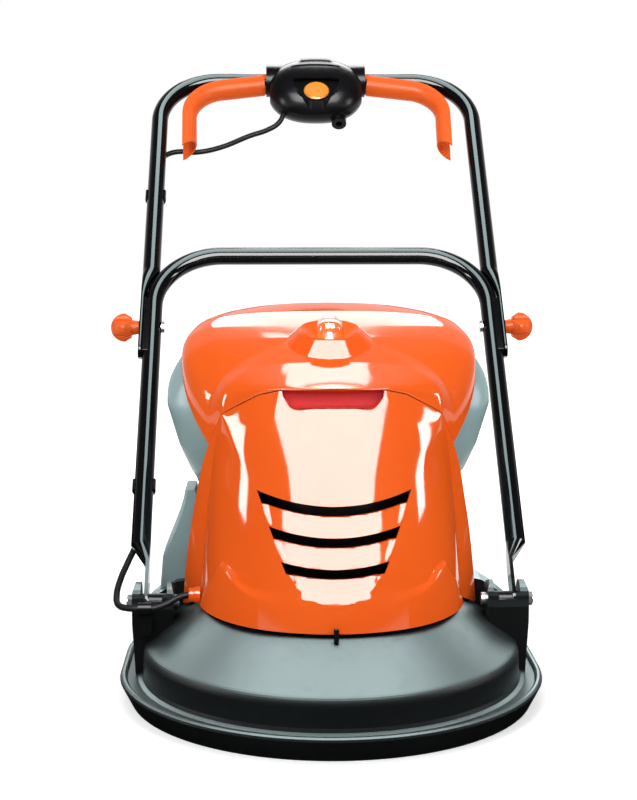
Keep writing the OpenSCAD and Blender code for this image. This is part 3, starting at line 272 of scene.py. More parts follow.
scuffing = skin.nodes.new("ShaderNodeMath")
scuffing.operation = "MULTIPLY_ADD"
skin.links.new(marks_range.outputs["Result"], scuffing.inputs[0])
skin.links.new(skin_in.outputs["Scuff"], scuffing.inputs[1])
skin.links.new(skin_in.outputs["Roughness"], scuffing.inputs[2])
skin.links.new(scuffing.outputs[0], skin_out.inputs["Roughness"])
skin.links.new(pits.outputs["Fac"], skin_out.inputs["Height"])


def moulded(name, color, deep, roughness, pit_scale, pit_depth, scuff=0.06, specular=0.5):
    """Moulded plastic: its colour, the colour it drifts to, and the depth of its pitting in metres."""
    material = bpy.data.materials.new(name)
    material.use_nodes = True
    tree = material.node_tree
    shader = tree.nodes["Principled BSDF"]
    shader.inputs["Specular IOR Level"].default_value = specular
    group = tree.nodes.new("ShaderNodeGroup")
    group.node_tree = skin
    group.inputs["Color"].default_value = (*color, 1)
    group.inputs["Deep Color"].default_value = (*deep, 1)
    group.inputs["Roughness"].default_value = roughness
    group.inputs["Pit Scale"].default_value = pit_scale
    group.inputs["Scuff"].default_value = scuff
    bump = tree.nodes.new("ShaderNodeBump")
    bump.inputs["Strength"].default_value = 1.0
    bump.inputs["Distance"].default_value = pit_depth
    tree.links.new(group.outputs["Color"], shader.inputs["Base Color"])
    tree.links.new(group.outputs["Roughness"], shader.inputs["Roughness"])
    tree.links.new(group.outputs["Height"], bump.inputs["Height"])
    tree.links.new(bump.outputs["Normal"], shader.inputs["Normal"])
    return material


def dress(material, *names):
    """Gives nodes of the frame their material."""
    for name in names:
        mesh = nodes[name].data
        mesh.materials.clear()
        mesh.materials.append(material)


hood_plastic = moulded("charcoal_hood", (0.005, 0.0065, 0.007), (0.004, 0.005, 0.0055), 0.40, 900, 0.00008,
                       specular=0.25)
CARD_TINT = (0.80, 1.0, 1.0)
dress(hood_plastic, "deck", "rear_housing")
# Broad cards overhead show in the hood's sloping top alone, and the front card everywhere but there
roof_cards = [lamp("roof_card", (0.0, 0.0, 2.0), (0, 0, 0), 2.6, 2.2, 475, card=True)]
for side in (-1, 1):
    roof_cards.append(lamp("eave_card", (side * 0.94, 1.34, 0.72), (0, 0, 0.06), 1.3, 1.4, 46, card=True))
roof_view = bpy.data.collections.new("roof_view")
front_view = bpy.data.collections.new("front_view")
for name in ("deck", "rear_housing"):
    roof_view.objects.link(nodes[name])
    front_view.objects.link(nodes[name])
for entry in front_view.collection_objects:
    entry.light_linking.link_state = "EXCLUDE"
for card in roof_cards:
    card.data.color = CARD_TINT
    card.light_linking.receiver_collection = roof_view
front_card.light_linking.receiver_collection = front_view

# Motor and cutting gear: a drawn steel can with a laminated core, carbon brushes on a copper
# commutator, ball bearings, and under the hood a moulded fan and a pressed steel blade.


def metal(name, color, roughness, streak_scale, streak_stretch):
    """Bare metal with fine streaks left by its making, run along one axis by the stretch."""
    material = bpy.data.materials.new(name)
    material.use_nodes = True
    tree = material.node_tree
    shader = tree.nodes["Principled BSDF"]
    shader.inputs["Metallic"].default_value = 1.0
    place = tree.nodes.new("ShaderNodeTexCoord")
    turn = tree.nodes.new("ShaderNodeMapping")
    turn.inputs["Scale"].default_value = streak_stretch
    streaks = tree.nodes.new("ShaderNodeTexNoise")
    streaks.inputs["Scale"].default_value = streak_scale
    streaks.inputs["Detail"].default_value = 4.0
    tree.links.new(place.outputs["Object"], turn.inputs["Vector"])
    tree.links.new(turn.outputs["Vector"], streaks.inputs["Vector"])
    tone = tree.nodes.new("ShaderNodeMix")
    tone.data_type = "RGBA"
    tone.inputs["A"].default_value = (*color, 1)
    tone.inputs["B"].default_value = (*[0.72 * c for c in color], 1)
    sheen = tree.nodes.new("ShaderNodeMapRange")
    sheen.inputs["To Min"].default_value = roughness - 0.08
    sheen.inputs["To Max"].default_value = roughness + 0.12
    tree.links.new(streaks.outputs["Fac"], tone.inputs["Factor"])
    tree.links.new(streaks.outputs["Fac"], sheen.inputs["Value"])
    tree.links.new(tone.outputs["Result"], shader.inputs["Base Color"])
    tree.links.new(sheen.outputs["Result"], shader.inputs["Roughness"])
    return material


zinc_steel = metal("zinc_steel", (0.62, 0.63, 0.65), 0.3, 260, (1, 1, 4))
blade_steel = metal("blade_steel", (0.55, 0.56, 0.58), 0.32, 180, (0.2, 3, 3))
core_iron = metal("core_iron", (0.30, 0.27, 0.25), 0.5, 900, (0.2, 0.2, 3))
copper = metal("commutator_copper", (0.72, 0.36, 0.18), 0.3, 300, (3, 3, 0.3))
black_plastic = moulded("black_plastic", (0.006, 0.006, 0.007), (0.004, 0.004, 0.005), 0.24, 1400, 0.00006,
                        specular=0.12)
carbon = moulded("brush_carbon", (0.02, 0.02, 0.02), (0.035, 0.035, 0.036), 0.7, 2200, 0.0001)
dress(zinc_steel, "motor_can", "motor_mount", "motor_screws", "motor_shaft", "blade_bolt",
      "upper_bearing", "lower_bearing")
dress(blade_steel, "blade")
dress(core_iron, "stator", "armature")
dress(copper, "commutator")
dress(carbon, "brushes")
dress(black_plastic, "end_cap", "terminal_block", "impeller", "blade_spacer", "intake_baffle")

# Motor cover and grass duct: pale blue-grey mouldings behind the cowl.
# The cover keeps clippings off the motor, the duct leads them up into the box.
pale_plastic = moulded("pale_plastic", (0.30, 0.43, 0.44), (0.25, 0.38, 0.39), 0.34, 1200, 0.00005,
                       specular=0.3)
dress(pale_plastic, "motor_cover", "grass_duct")

# Cowl: glossy orange moulding over the motor, from its foot on the hood up to the lid's seam.
# Three bent air slots cross its front, a band stands out round its foot and a scoop lets fingers in.
orange_gloss = moulded("orange_gloss", (0.90, 0.125, 0.014), (0.86, 0.108, 0.011), 0.07, 500, 0.000006, 0.03,
                       specular=0.3)


def table(value, pairs):
    """Straight-line reading of a short list of places and values."""
    if value <= pairs[0][0]:
        return pairs[0][1]
    for (low, first), (high, second) in zip(pairs, pairs[1:]):
        if value <= high:
            return first + (second - first) * (value - low) / (high - low)
    return pairs[-1][1]


COWL_R = 0.138
FLANK_X = 0.160
FLANK_Y = 0.040
FRONT_ANGLE = 92
FLANK_ANGLE = 90 + math.degrees(math.atan2(FLANK_Y, FLANK_X))
CORNER_ANGLE = 52.8
SEAM_Z = 0.334
SEAM_GAP = 0.001
BOX_HALF_W = 0.160
BOX_FRONT = 0.057
BOX_REAR = 0.190
BOX_SHIFT = 0.003
BOX_MID_Y = (BOX_REAR - BOX_FRONT) / 2 + BOX_SHIFT
BOX_B = BOX_MID_Y + BOX_FRONT
BOX_REAR_B = BOX_REAR - BOX_MID_Y
SEAM_DROP = [(0, 0), (20, -0.002), (28, -0.007), (40.5, -0.025), (44, -0.031), (52.8, -0.064), (66, -0.036),
             (81, -0.003), (97, 0.020), (130, 0.040), (180, 0.046)]
HOOD_TOP = [(0.118, 0.105), (0.138, 0.097), (0.190, 0.0595)]
SHELL_WALL = 0.003
FOOT_GAP = 0.0045
BELLY_OUT = 0.75
BELLY_UP = 0.6


def box_rim(angle):
    """Point of the lid's rim in plan, by angle from the front."""
    depth = BOX_B if math.cos(angle) > 0 else BOX_REAR_B
    return BOX_HALF_W * math.sin(angle), BOX_MID_Y - depth * math.cos(angle)


def cowl_point(u, t):
    """Point of the cowl's face: u runs from the left edge to the right, t from its foot to the seam."""
    turn = math.radians(u * FLANK_ANGLE)
    reach = table(abs(u) * FLANK_ANGLE, [(FRONT_ANGLE, COWL_R), (FLANK_ANGLE, math.hypot(FLANK_X, FLANK_Y))])
    foot = Vector((reach * math.sin(turn), -reach * math.cos(turn), 0))
    foot.z = table(reach if foot.y < 0 else abs(foot.x), HOOD_TOP) + FOOT_GAP
    x, y = box_rim(math.radians(u * CORNER_ANGLE))
    top = Vector((x, y, SEAM_Z - SEAM_GAP + table(abs(u) * CORNER_ANGLE, SEAM_DROP)))
    middle = Vector((foot.x * BELLY_OUT + top.x * (1 - BELLY_OUT),
                     foot.y * BELLY_OUT + top.y * (1 - BELLY_OUT),
                     foot.z * (1 - BELLY_UP) + top.z * BELLY_UP))
    return foot * (1 - t) ** 2 + middle * 2 * t * (1 - t) + top * t * t


def outward(point):
    """Level direction out of the covers, away from an upright line behind the motor."""
    return Vector((point.x, point.y - FLANK_Y, 0)).normalized()


def ease(value):
    """Smooth step from 0 to 1."""
    value = min(max(value, 0), 1)
    return value * value * (3 - 2 * value)


# Fold between the front and the flanks, on the cowl and the lid alike
CREASE_OUT = 0.005
CREASE_IN_W = 0.050
CREASE_OUT_W = 0.034
CREASE_X = 0.1097
CREASE_Y = -0.0226
CREASE_SPREAD = 0.166


def crease(x, y, soft=0.0):
    """Height of the fold over a place of the plan: a ridge with hollow sides."""
    away = abs(x) - CREASE_X - (y - CREASE_Y) * CREASE_SPREAD
    width = CREASE_IN_W + soft if away < 0 else CREASE_OUT_W + soft
    return CREASE_OUT * max(0, 1 - abs(away) / width) ** 2


def shaped_grid(columns, rows, place):
    """Grid whose points are put by a function of two numbers: across from -1 to 1, up from 0 to 1."""
    mesh = bmesh.new()
    bmesh.ops.create_grid(mesh, x_segments=columns, y_segments=rows, size=1.0)
    for vertex in mesh.verts:
        vertex.co = place(vertex.co.x, (vertex.co.y + 1) / 2)
    return mesh


SHARP_ANGLE = 35.0


def smooth(data, sharp=SHARP_ANGLE):
    """Shades a mesh smooth but for its sharp edges."""
    data.shade_smooth()
    data.set_sharp_from_angle(angle=math.radians(sharp))


def add_piece(name, mesh, material):
    """Makes a bmesh a smooth object with its own material."""
    data = bpy.data.meshes.new(name)
    mesh.to_mesh(data)
    mesh.free()
    smooth(data)
    data.materials.append(material)
    piece = bpy.data.objects.new(name, data)
    bpy.context.scene.collection.objects.link(piece)
    return piece


def cut_away(piece, cutter, operation="DIFFERENCE"):
    """Takes a solid out of a piece and leaves the result in the piece's own mesh."""
    data = bpy.data.meshes.new("cutter")
    cutter.to_mesh(data)
    cutter.free()
    tool = bpy.data.objects.new("cutter", data)
    bpy.context.scene.collection.objects.link(tool)
    cut = piece.modifiers.new("cut", "BOOLEAN")
    cut.operation = operation
    cut.solver = "EXACT"
    cut.object = tool
    result = bpy.data.meshes.new_from_object(piece.evaluated_get(bpy.context.evaluated_depsgraph_get()))
    piece.modifiers.clear()
    piece.data = result
    bpy.data.objects.remove(tool)


def prism(outline, back, front):
    """Solid from an outline of the front view, run from back to front along the mower's length."""
    mesh = bmesh.new()
    face = mesh.faces.new([mesh.verts.new((x, back, z)) for x, z in outline])
    moved = bmesh.ops.extrude_face_region(mesh, geom=[face])["geom"]
    bmesh.ops.translate(mesh, vec=(0, front - back, 0),
                        verts=[item for item in moved if isinstance(item, bmesh.types.BMVert)])
    bmesh.ops.recalc_face_normals(mesh, faces=mesh.faces)
    return mesh


SLOT_ROWS = 3
SLOT_BEND = 0.268
SLOT_HEIGHT = 0.0105
SLOT_HALF_WIDTH = 0.077
SLOT_STEP = 0.030
SLOT_TOP_Z = 0.218
LOUVRE_HALF = [(0.1436, 0.036), (0.167, 0.0505), (0.197, 0.063), (0.230, 0.0745)]
LOUVRE_DEPTH = 0.0045
LOUVRE_EDGE = 0.0018
LOUVRE_LAP = 0.001
LOUVRE_TAIL = 0.002


def slot_z(row, x, edge):
    """Height of a slot's edge: 1 for the lower one, -1 for the upper one."""
    radius = SLOT_BEND + edge * SLOT_HEIGHT / 2
    return SLOT_TOP_Z - SLOT_STEP * row + SLOT_BEND - math.sqrt(radius ** 2 - x ** 2)


def louvre(x, z):
    """Depth of the slats, which lean in towards the slot above them."""
    side = min(max((table(z, LOUVRE_HALF) - abs(x)) / LOUVRE_EDGE, 0), 1)
    for row in range(SLOT_ROWS):
        top = slot_z(row, x, 1) + LOUVRE_LAP
        foot = slot_z(row + 1, x, -1) - (LOUVRE_TAIL if row == SLOT_ROWS - 1 else 0)
        if side > 0 and foot < z < top:
            return LOUVRE_DEPTH * side * (z - foot) / (top - foot)
    return 0.0


BAND_OUT = 0.0035
BAND_TOP = [(0, 0.083), (0.24, 0.090), (0.356, 0.113), (0.433, 0.140), (0.51, 0.190), (0.57, 0.210)]
BAND_END = 0.78
BAND_EDGE = 0.012
BAND_BLUR = 0.07
BLUR_FROM = 0.15
BAND_LEAST = 0.3
BAND_FROM = 0.1
BAND_RUN = 0.3
FOLD_LEAN = 0.84
FADE_T = 0.58
FADE_T_RUN = 0.3
LIP_HALF = 0.0225
LIP_Z = 0.1275
LIP_BEND = 0.006
LIP_OUT = 0.0009
LIP_EDGE = 0.0022
COWL_COLUMNS = 208
COWL_ROWS = 120
# Share of the columns and rows over the louvres, the stretch they cover, and their pace there and past it
FINE_ACROSS = 0.62
FINE_U = 0.45
FINE_U_PACE = 0.726
SIDE_U_PACE = 1.4475
FINE_UP = 0.65
FINE_T = 0.56
FINE_T_PACE = 0.862
TOP_T_PACE = 1.2572


def cowl_face(across, up):
    """Cowl's face with its fold, louvres, band and lip, on a grid that is finest over the louvres."""
    u = across * FINE_U_PACE
    if abs(across) >= FINE_ACROSS:
        u = math.copysign(FINE_U + (abs(across) - FINE_ACROSS) * SIDE_U_PACE, across)
    t = up * FINE_T_PACE if up < FINE_UP else FINE_T + (up - FINE_UP) * TOP_T_PACE
    point = cowl_point(u, t)
    away = outward(point)
    blur = BAND_EDGE + BAND_BLUR * (1 - ease((abs(u) - BLUR_FROM) / BAND_RUN))
    edge = table(abs(u), BAND_TOP)
    rise = (1 - ease((t - edge) / blur)) * (1 - ease((abs(u) + t - BAND_END) / BAND_EDGE))
    rise *= BAND_LEAST + (1 - BAND_LEAST) * ease((abs(u) - BAND_FROM) / BAND_RUN)
    swell = BAND_OUT * rise - louvre(point.x, point.z)
    turn = math.radians(min(CORNER_ANGLE, (abs(u) + FOLD_LEAN * (1 - t)) * CORNER_ANGLE))
    swell += crease(*box_rim(turn)) * ease((t - FADE_T) / FADE_T_RUN)
    lip = LIP_Z + LIP_BEND * (point.x / LIP_HALF) ** 2 if abs(point.x) < LIP_HALF else 0
    swell += LIP_OUT * max(0, 1 - abs(point.z - lip) / LIP_EDGE)
    return point + away * swell


cowl_mesh = shaped_grid(COWL_COLUMNS, COWL_ROWS, cowl_face)
bmesh.ops.recalc_face_normals(cowl_mesh, faces=cowl_mesh.faces)
if sum(face.normal.y for face in cowl_mesh.faces) > 0:
    bmesh.ops.reverse_faces(cowl_mesh, faces=cowl_mesh.faces)
bmesh.ops.solidify(cowl_mesh, geom=cowl_mesh.faces[:], thickness=SHELL_WALL)
cowl = add_piece("cowl_cover", cowl_mesh, orange_gloss)

SLOT_STEPS = 24
SLOT_NARROWING = 0.012
SLOT_LOWER_END = 0.004
SLOT_UPPER_END = 0.001
SLOT_BACK = -0.06
CUT_FRONT = -0.2
for row in range(SLOT_ROWS):
    half = SLOT_HALF_WIDTH - SLOT_NARROWING * row
    slot_outline = []
    for edge, reach in ((1, half - SLOT_LOWER_END), (-1, half + SLOT_UPPER_END)):
        for step in range(SLOT_STEPS + 1):
            x = edge * reach * (2 * step / SLOT_STEPS - 1)
            slot_outline.append((x, slot_z(row, x, edge)))
    cut_away(cowl, prism(slot_outline, SLOT_BACK, CUT_FRONT))

SCOOP_HALF = 0.052
SCOOP_DEPTH = 0.019
SCOOP_CORNER = 0.018
SCOOP_TOP = SEAM_Z + 0.01
SCOOP_BACK = -0.03
CORNER_STEPS = 8
scoop_outline = [(-SCOOP_HALF, SCOOP_TOP), (SCOOP_HALF, SCOOP_TOP)]
for side in (1, -1):
    for step in range(CORNER_STEPS + 1):
        angle = math.radians(90 * step / CORNER_STEPS)
        x = SCOOP_HALF - SCOOP_CORNER + SCOOP_CORNER * (math.cos(angle) if side > 0 else math.sin(angle))
        z = SEAM_Z - SCOOP_DEPTH + SCOOP_CORNER * (1 - (math.sin(angle) if side > 0 else math.cos(angle)))
        scoop_outline.append((side * x, z))
cut_away(cowl, prism(scoop_outline, SCOOP_BACK, CUT_FRONT))
smooth(cowl.data)
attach(cowl, "chassis")
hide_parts("motor_cowl")

# Finger scoop: the pocket set into the cowl under the lid's edge, coloured a dark red that is painted shade
# of the orange plastic in its recess.
# It is part of the same moulding, and lets a finger under the lid to lift it.
POCKET_BACK = -0.043
POCKET_FRONT = -0.0645
POCKET_MIDDLE = (POCKET_BACK + POCKET_FRONT) / 2
POCKET_INSET = 0.001
POCKET_SLOPE = 1.1
COWL_HEIGHT = 0.23
# The pocket's dark red is painted shade: the cowl's orange, darkened as it is in the recess's shadow.
scoop_painted_shade = moulded("scoop_painted_shade", (0.60, 0.014, 0.014), (0.54, 0.012, 0.012), 0.45, 700, 0.00002,
                    specular=0.2)
scoop_mesh = prism([(x, min(z, SEAM_Z - SEAM_GAP)) for x, z in scoop_outline], POCKET_BACK, POCKET_FRONT)
front_faces = [face for face in scoop_mesh.faces if face.normal.y < -0.9]
bmesh.ops.delete(scoop_mesh, geom=front_faces, context="FACES")
for vertex in scoop_mesh.verts:
    if vertex.co.y < POCKET_MIDDLE:
        up = 1 - POCKET_SLOPE * (SEAM_Z - vertex.co.z) / COWL_HEIGHT
        vertex.co.y = cowl_point(0, up).y + POCKET_INSET
bmesh.ops.reverse_faces(scoop_mesh, faces=scoop_mesh.faces)
scoop = add_piece("finger_pocket", scoop_mesh, scoop_painted_shade)
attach(scoop, "chassis")

# Foot shade strip: a black strip set back in the gap between the cowl's foot and the hood, painted shade for
# the dark line there.
# A snap clip holds the foot at the front, and an orange boss takes in the motor cable.
SHADE_STRIP_SPAN = 0.97
SHADE_STRIP_BACK = 0.004
SHADE_STRIP_HEIGHT = 0.008
SHADE_STRIP_LAP = 0.002
SHADE_STRIP_COLUMNS = 120
SHADE_STRIP_WALL = 0.002


def shade_strip_face(across, up):
    """Black strip of painted shade under the cowl's foot, set back from its face."""
    point = cowl_point(across * SHADE_STRIP_SPAN, 0.0)
    point -= outward(point) * SHADE_STRIP_BACK
    point.z += SHADE_STRIP_LAP - SHADE_STRIP_HEIGHT * (1 - up)
    return point


# The strip's black plastic is painted shade: it darkens the gap under the cowl's foot as a shadow would.
shade_strip_mesh = shaped_grid(SHADE_STRIP_COLUMNS, 1, shade_strip_face)
bmesh.ops.recalc_face_normals(shade_strip_mesh, faces=shade_strip_mesh.faces)
bmesh.ops.solidify(shade_strip_mesh, geom=shade_strip_mesh.faces[:], thickness=SHADE_STRIP_WALL)
shade_strip = add_piece("cowl_foot_shade_strip", shade_strip_mesh, black_plastic)
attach(shade_strip, "chassis")
dress(black_plastic, "cowl_clip")
dress(orange_gloss, "cable_gland")

# Grass tub: pale blue-grey moulding whose flared wings show on both sides of the cowl.
# It stands on the hood, lifts straight off, and carries the lid's hinges at the rear.
TUB_Z = 0.115
TUB_LOWEST = -0.036
TUB_WIDTH = [(-0.219, -0.042), (-0.174, -0.028), (-0.121, -0.013), (-0.079, 0.005), (-0.034, 0.017),
             (-0.003, 0.016), (0.026, 0.013), (0.052, 0.009)]
TUB_SHOULDER = 0.84
TUB_FRONT = [(-0.219, 0.058), (-0.130, 0.056), (-0.108, 0.012), (-0.094, 0.005), (-0.064, -0.008),
             (-0.034, -0.022), (-0.003, -0.034), (0.052, -0.034)]
TUB_REAR = [(-0.219, -0.014), (-0.121, -0.008), (-0.034, -0.002), (0.052, 0.0)]


def tub_y(angle, z):
    """Place along the mower's length of the tub's wall, by angle from the front and height."""
    front = table(z - SEAM_Z, TUB_FRONT)
    rear = BOX_REAR + table(z - SEAM_Z, TUB_REAR)
    return (front + rear) / 2 - (rear - front) / 2 * math.cos(angle)


def tub_rim(angle):
    """Height of the tub's rim under the lid."""
    y = tub_y(angle, SEAM_Z)
    depth = BOX_B if y < BOX_MID_Y else BOX_REAR_B
    beside = math.degrees(math.acos(max(-1, min(1, (BOX_MID_Y - y) / depth))))
    return SEAM_Z - SEAM_GAP + max(TUB_LOWEST, table(beside, SEAM_DROP))


def tub_face(across, t):
    """Point of the tub's wall: across runs once round it from the front, t from its floor to its rim."""
    angle = math.pi * (across + 1)
    z = TUB_Z + (tub_rim(angle) - TUB_Z) * t
    draw = 1 - max(0, (t - TUB_SHOULDER) / (1 - TUB_SHOULDER)) ** 2
    half = BOX_HALF_W + table(z - SEAM_Z, TUB_WIDTH) * (draw if t > TUB_SHOULDER else 1)
    return Vector((half * math.sin(angle), tub_y(angle, z), z))


def close_ring(mesh):
    """Joins a grid's two side edges into a ring and turns its faces outwards."""
    bmesh.ops.remove_doubles(mesh, verts=mesh.verts, dist=1e-5)
    bmesh.ops.recalc_face_normals(mesh, faces=mesh.faces)


def rod(radius, start, end, axis, steps=64):
    """Cylinder between two places along one axis."""
    turn = {"X": Matrix.Rotation(math.pi / 2, 4, "Y"), "Y": Matrix.Rotation(-math.pi / 2, 4, "X")}[axis]
    mesh = bmesh.new()
    bmesh.ops.create_cone(mesh, cap_ends=True, segments=steps, radius1=radius, radius2=radius,
                          depth=(Vector(end) - Vector(start)).length,
                          matrix=Matrix.Translation((Vector(start) + Vector(end)) / 2) @ turn)
    return mesh


def block(low, high):
    """Box between two corners."""
    mesh = bmesh.new()
    size = Vector(high) - Vector(low)
    bmesh.ops.create_cube(mesh, size=1.0, matrix=Matrix.Translation((Vector(low) + Vector(high)) / 2)
                          @ Matrix.Diagonal((*size, 1)))
    return mesh


def join(mesh, part):
    """Adds a part to a piece's mesh."""
    data = bpy.data.meshes.new("part")
    part.to_mesh(data)
    part.free()
    mesh.from_mesh(data)
    bpy.data.meshes.remove(data)


HINGE_X = 0.060
HINGE_Y = 0.196
HINGE_Z = 0.386
HINGE_HALF = 0.010
HINGE_R = 0.0045
HINGE_GAP = 0.0003
KNUCKLE_SIDES = 32
EAR_REACH = 0.022
EAR_WALL = 0.005
EAR_FOOT = 0.010
EAR_NECK = 0.014
EAR_IN = HINGE_HALF + HINGE_GAP
EAR_OUT = EAR_IN + EAR_WALL
TUB_COLUMNS = 160
TUB_ROWS = 60

tub_mesh = shaped_grid(TUB_COLUMNS, TUB_ROWS, tub_face)
close_ring(tub_mesh)
floor_edges = [edge for edge in tub_mesh.edges if edge.is_boundary and edge.verts[0].co.z < TUB_Z + 0.001]
bmesh.ops.holes_fill(tub_mesh, edges=floor_edges)
bmesh.ops.recalc_face_normals(tub_mesh, faces=tub_mesh.faces)
bmesh.ops.solidify(tub_mesh, geom=tub_mesh.faces[:], thickness=SHELL_WALL)
for side in (-1, 1):
    for low, high in ((EAR_IN, EAR_OUT), (-EAR_OUT, -EAR_IN)):
        left = side * HINGE_X + low
        right = side * HINGE_X + high
        rear = HINGE_Y + HINGE_R
        low_corner = (left, HINGE_Y - EAR_REACH, HINGE_Z - EAR_REACH)
        join(tub_mesh, block(low_corner, (right, rear, HINGE_Z - EAR_FOOT)))
        join(tub_mesh, block((left, HINGE_Y - HINGE_R, HINGE_Z - EAR_NECK), (right, rear, HINGE_Z)))
        join(tub_mesh, rod(HINGE_R, (left, HINGE_Y, HINGE_Z), (right, HINGE_Y, HINGE_Z), "X", KNUCKLE_SIDES))
tub = add_piece("grass_tub_shell", tub_mesh, pale_plastic)
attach(tub, "grass_box")
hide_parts("grass_tub")
dress(zinc_steel, "hinge_pins")

# Lid: glossy orange moulding hinged at the tub's rear, with a cone for the fill indicator.
# Its front edge meets the cowl along the seam, and its two knuckles turn on the tub's pins.
CONE_Y = 0.045
CONE_Z = SEAM_Z + 0.051
CONE_R = 0.034
CONE_FOOT_R = 0.056
CONE_H = 0.038
CONE_LEAN = math.radians(13)
CONE_FLARE = 1.35
BOWL_H = 0.012
DOME_R = 0.015
CROWN = [(-BOX_FRONT, 0.001), (0, 0.021), (0.050, 0.043), (0.110, 0.065), (0.150, 0.073), (BOX_REAR, 0.065)]
CROWN_FALL = 0.005
CROWN_POWER = 4
FOLD_SOFT = 0.02
FOLD_FADE = 0.6
FADE_FROM = -0.02
FADE_RUN = 0.17
CONE_LAP = 0.004
KNUCKLE_ARM = 0.024
LID_COLUMNS = 240
LID_ROWS = 80


def lid_face(across, t):
    """Point of the lid: across runs once round it from the front, t from its rim to its middle."""
    angle = math.pi * (across + 1)
    spread = math.sin(math.pi / 2 * (1 - t))
    x, y = box_rim(angle)
    x *= spread
    y = BOX_MID_Y + (y - BOX_MID_Y) * spread
    folded = 360 - math.degrees(angle) if angle > math.pi else math.degrees(angle)
    rim = SEAM_Z + table(folded, SEAM_DROP)
    crown = SEAM_Z + table(y, CROWN) - CROWN_FALL * (x / BOX_HALF_W) ** 2
    rise = max(0, 1 - spread ** CROWN_POWER) ** (1 / CROWN_POWER)
    point = Vector((x, y, rim + (crown - rim) * rise))
    fold = crease(x, y, FOLD_SOFT * rise) * (1 - FOLD_FADE * ease((y - FADE_FROM) / FADE_RUN))
    point += outward(point).lerp(Vector((0, 0, 1)), rise) * fold
    return point


lid_mesh = shaped_grid(LID_COLUMNS, LID_ROWS, lid_face)
close_ring(lid_mesh)
if sum(face.normal.z for face in lid_mesh.faces) < 0:
    bmesh.ops.reverse_faces(lid_mesh, faces=lid_mesh.faces)
under_cone = [face for face in lid_mesh.faces
              if (face.calc_center_median().xy - Vector((0, CONE_Y))).length < CONE_R - CONE_LAP]
bmesh.ops.delete(lid_mesh, geom=under_cone, context="FACES")
bmesh.ops.solidify(lid_mesh, geom=lid_mesh.faces[:], thickness=SHELL_WALL)
for side in (-1, 1):
    left = side * HINGE_X - HINGE_HALF
    right = side * HINGE_X + HINGE_HALF
    join(lid_mesh, block((left, HINGE_Y - KNUCKLE_ARM, HINGE_Z), (right, HINGE_Y, HINGE_Z + HINGE_R)))
    join(lid_mesh, rod(HINGE_R, (left, HINGE_Y, HINGE_Z), (right, HINGE_Y, HINGE_Z), "X", KNUCKLE_SIDES))
lid = add_piece("lid_cover", lid_mesh, orange_gloss)
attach(lid, "lid")
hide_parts("box_lid")


def turned(profile, centre, steps=72):
    """Turned solid from a profile of radius and height, about an upright axis."""
    mesh = bmesh.new()
    points = [mesh.verts.new((centre[0] + r, centre[1], centre[2] + z)) for r, z in profile]
    edges = [mesh.edges.new(pair) for pair in zip(points, points[1:])]
    bmesh.ops.spin(mesh, geom=points + edges, cent=centre, axis=(0, 0, 1), angle=math.tau, steps=steps,
                   use_merge=True)
    bmesh.ops.remove_doubles(mesh, verts=mesh.verts, dist=1e-6)
    bmesh.ops.recalc_face_normals(mesh, faces=mesh.faces)
    return mesh


STEM_HOLE_R = 0.0031
STEM_HOLE_DEPTH = 0.004
BOWL_R = DOME_R + 0.004
LEAN_RUN = 0.010
cone_profile = [(CONE_FOOT_R, -CONE_H), (CONE_R + 0.0015, -0.0025), (CONE_R + 0.0004, -0.0008),
                (CONE_R - 0.001, 0), (CONE_R - 0.0025, -0.0006), (DOME_R + 0.006, -BOWL_H + 0.001),
                (BOWL_R, -BOWL_H), (STEM_HOLE_R, -BOWL_H), (STEM_HOLE_R, -BOWL_H - STEM_HOLE_DEPTH)]
# The cone's foot is wider than deep, and its rim leans to the front round a level bowl
cone_mesh = turned(cone_profile, (0, 0, 0))
for vertex in cone_mesh.verts:
    radius = vertex.co.xy.length
    vertex.co.x *= table(radius, [(CONE_R, 1.0), (CONE_FOOT_R, CONE_FLARE)])
    lean = CONE_LEAN * ease((radius - BOWL_R) / LEAN_RUN)
    vertex.co = Matrix.Rotation(lean, 3, "X") @ vertex.co + Vector((0, CONE_Y, CONE_Z))
cone = add_piece("indicator_cone", cone_mesh, orange_gloss)
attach(cone, "lid")

# Fill indicator: a clear dome snapped into the cone's bowl.
# A white float slides in the bowl's middle and shows in the dome.
clear = bpy.data.materials.new("clear_dome")
clear.use_nodes = True
clear_tree = clear.node_tree
clear_shader = clear_tree.nodes["Principled BSDF"]
clear_shader.inputs["Base Color"].default_value = (0.97, 0.99, 0.99, 1)
clear_shader.inputs["Transmission Weight"].default_value = 1.0
clear_shader.inputs["IOR"].default_value = 1.45
clear_haze = clear_tree.nodes.new("ShaderNodeTexNoise")
clear_haze.inputs["Scale"].default_value = 140.0
clear_place = clear_tree.nodes.new("ShaderNodeTexCoord")
clear_range = clear_tree.nodes.new("ShaderNodeMapRange")
clear_range.inputs["To Min"].default_value = 0.01
clear_range.inputs["To Max"].default_value = 0.07
clear_tree.links.new(clear_place.outputs["Object"], clear_haze.inputs["Vector"])
clear_tree.links.new(clear_haze.outputs["Fac"], clear_range.inputs["Value"])
clear_tree.links.new(clear_range.outputs["Result"], clear_shader.inputs["Roughness"])
DOME_WALL = 0.0015
DOME_INNER_R = DOME_R - DOME_WALL
DOME_STEPS = 12
DOME_ANGLES = [math.radians(90 * step / DOME_STEPS) for step in range(DOME_STEPS + 1)]
dome_profile = [(DOME_R, -BOWL_H)]
dome_profile += [(DOME_R * math.cos(angle), DOME_R * math.sin(angle)) for angle in DOME_ANGLES]
dome_profile += [(DOME_INNER_R * math.cos(angle), DOME_INNER_R * math.sin(angle))
                 for angle in reversed(DOME_ANGLES)]
dome_profile += [(DOME_INNER_R, -BOWL_H), (DOME_R, -BOWL_H)]
dome = add_piece("clear_cap", turned(dome_profile, (0, CONE_Y, CONE_Z)), clear)
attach(dome, "lid")
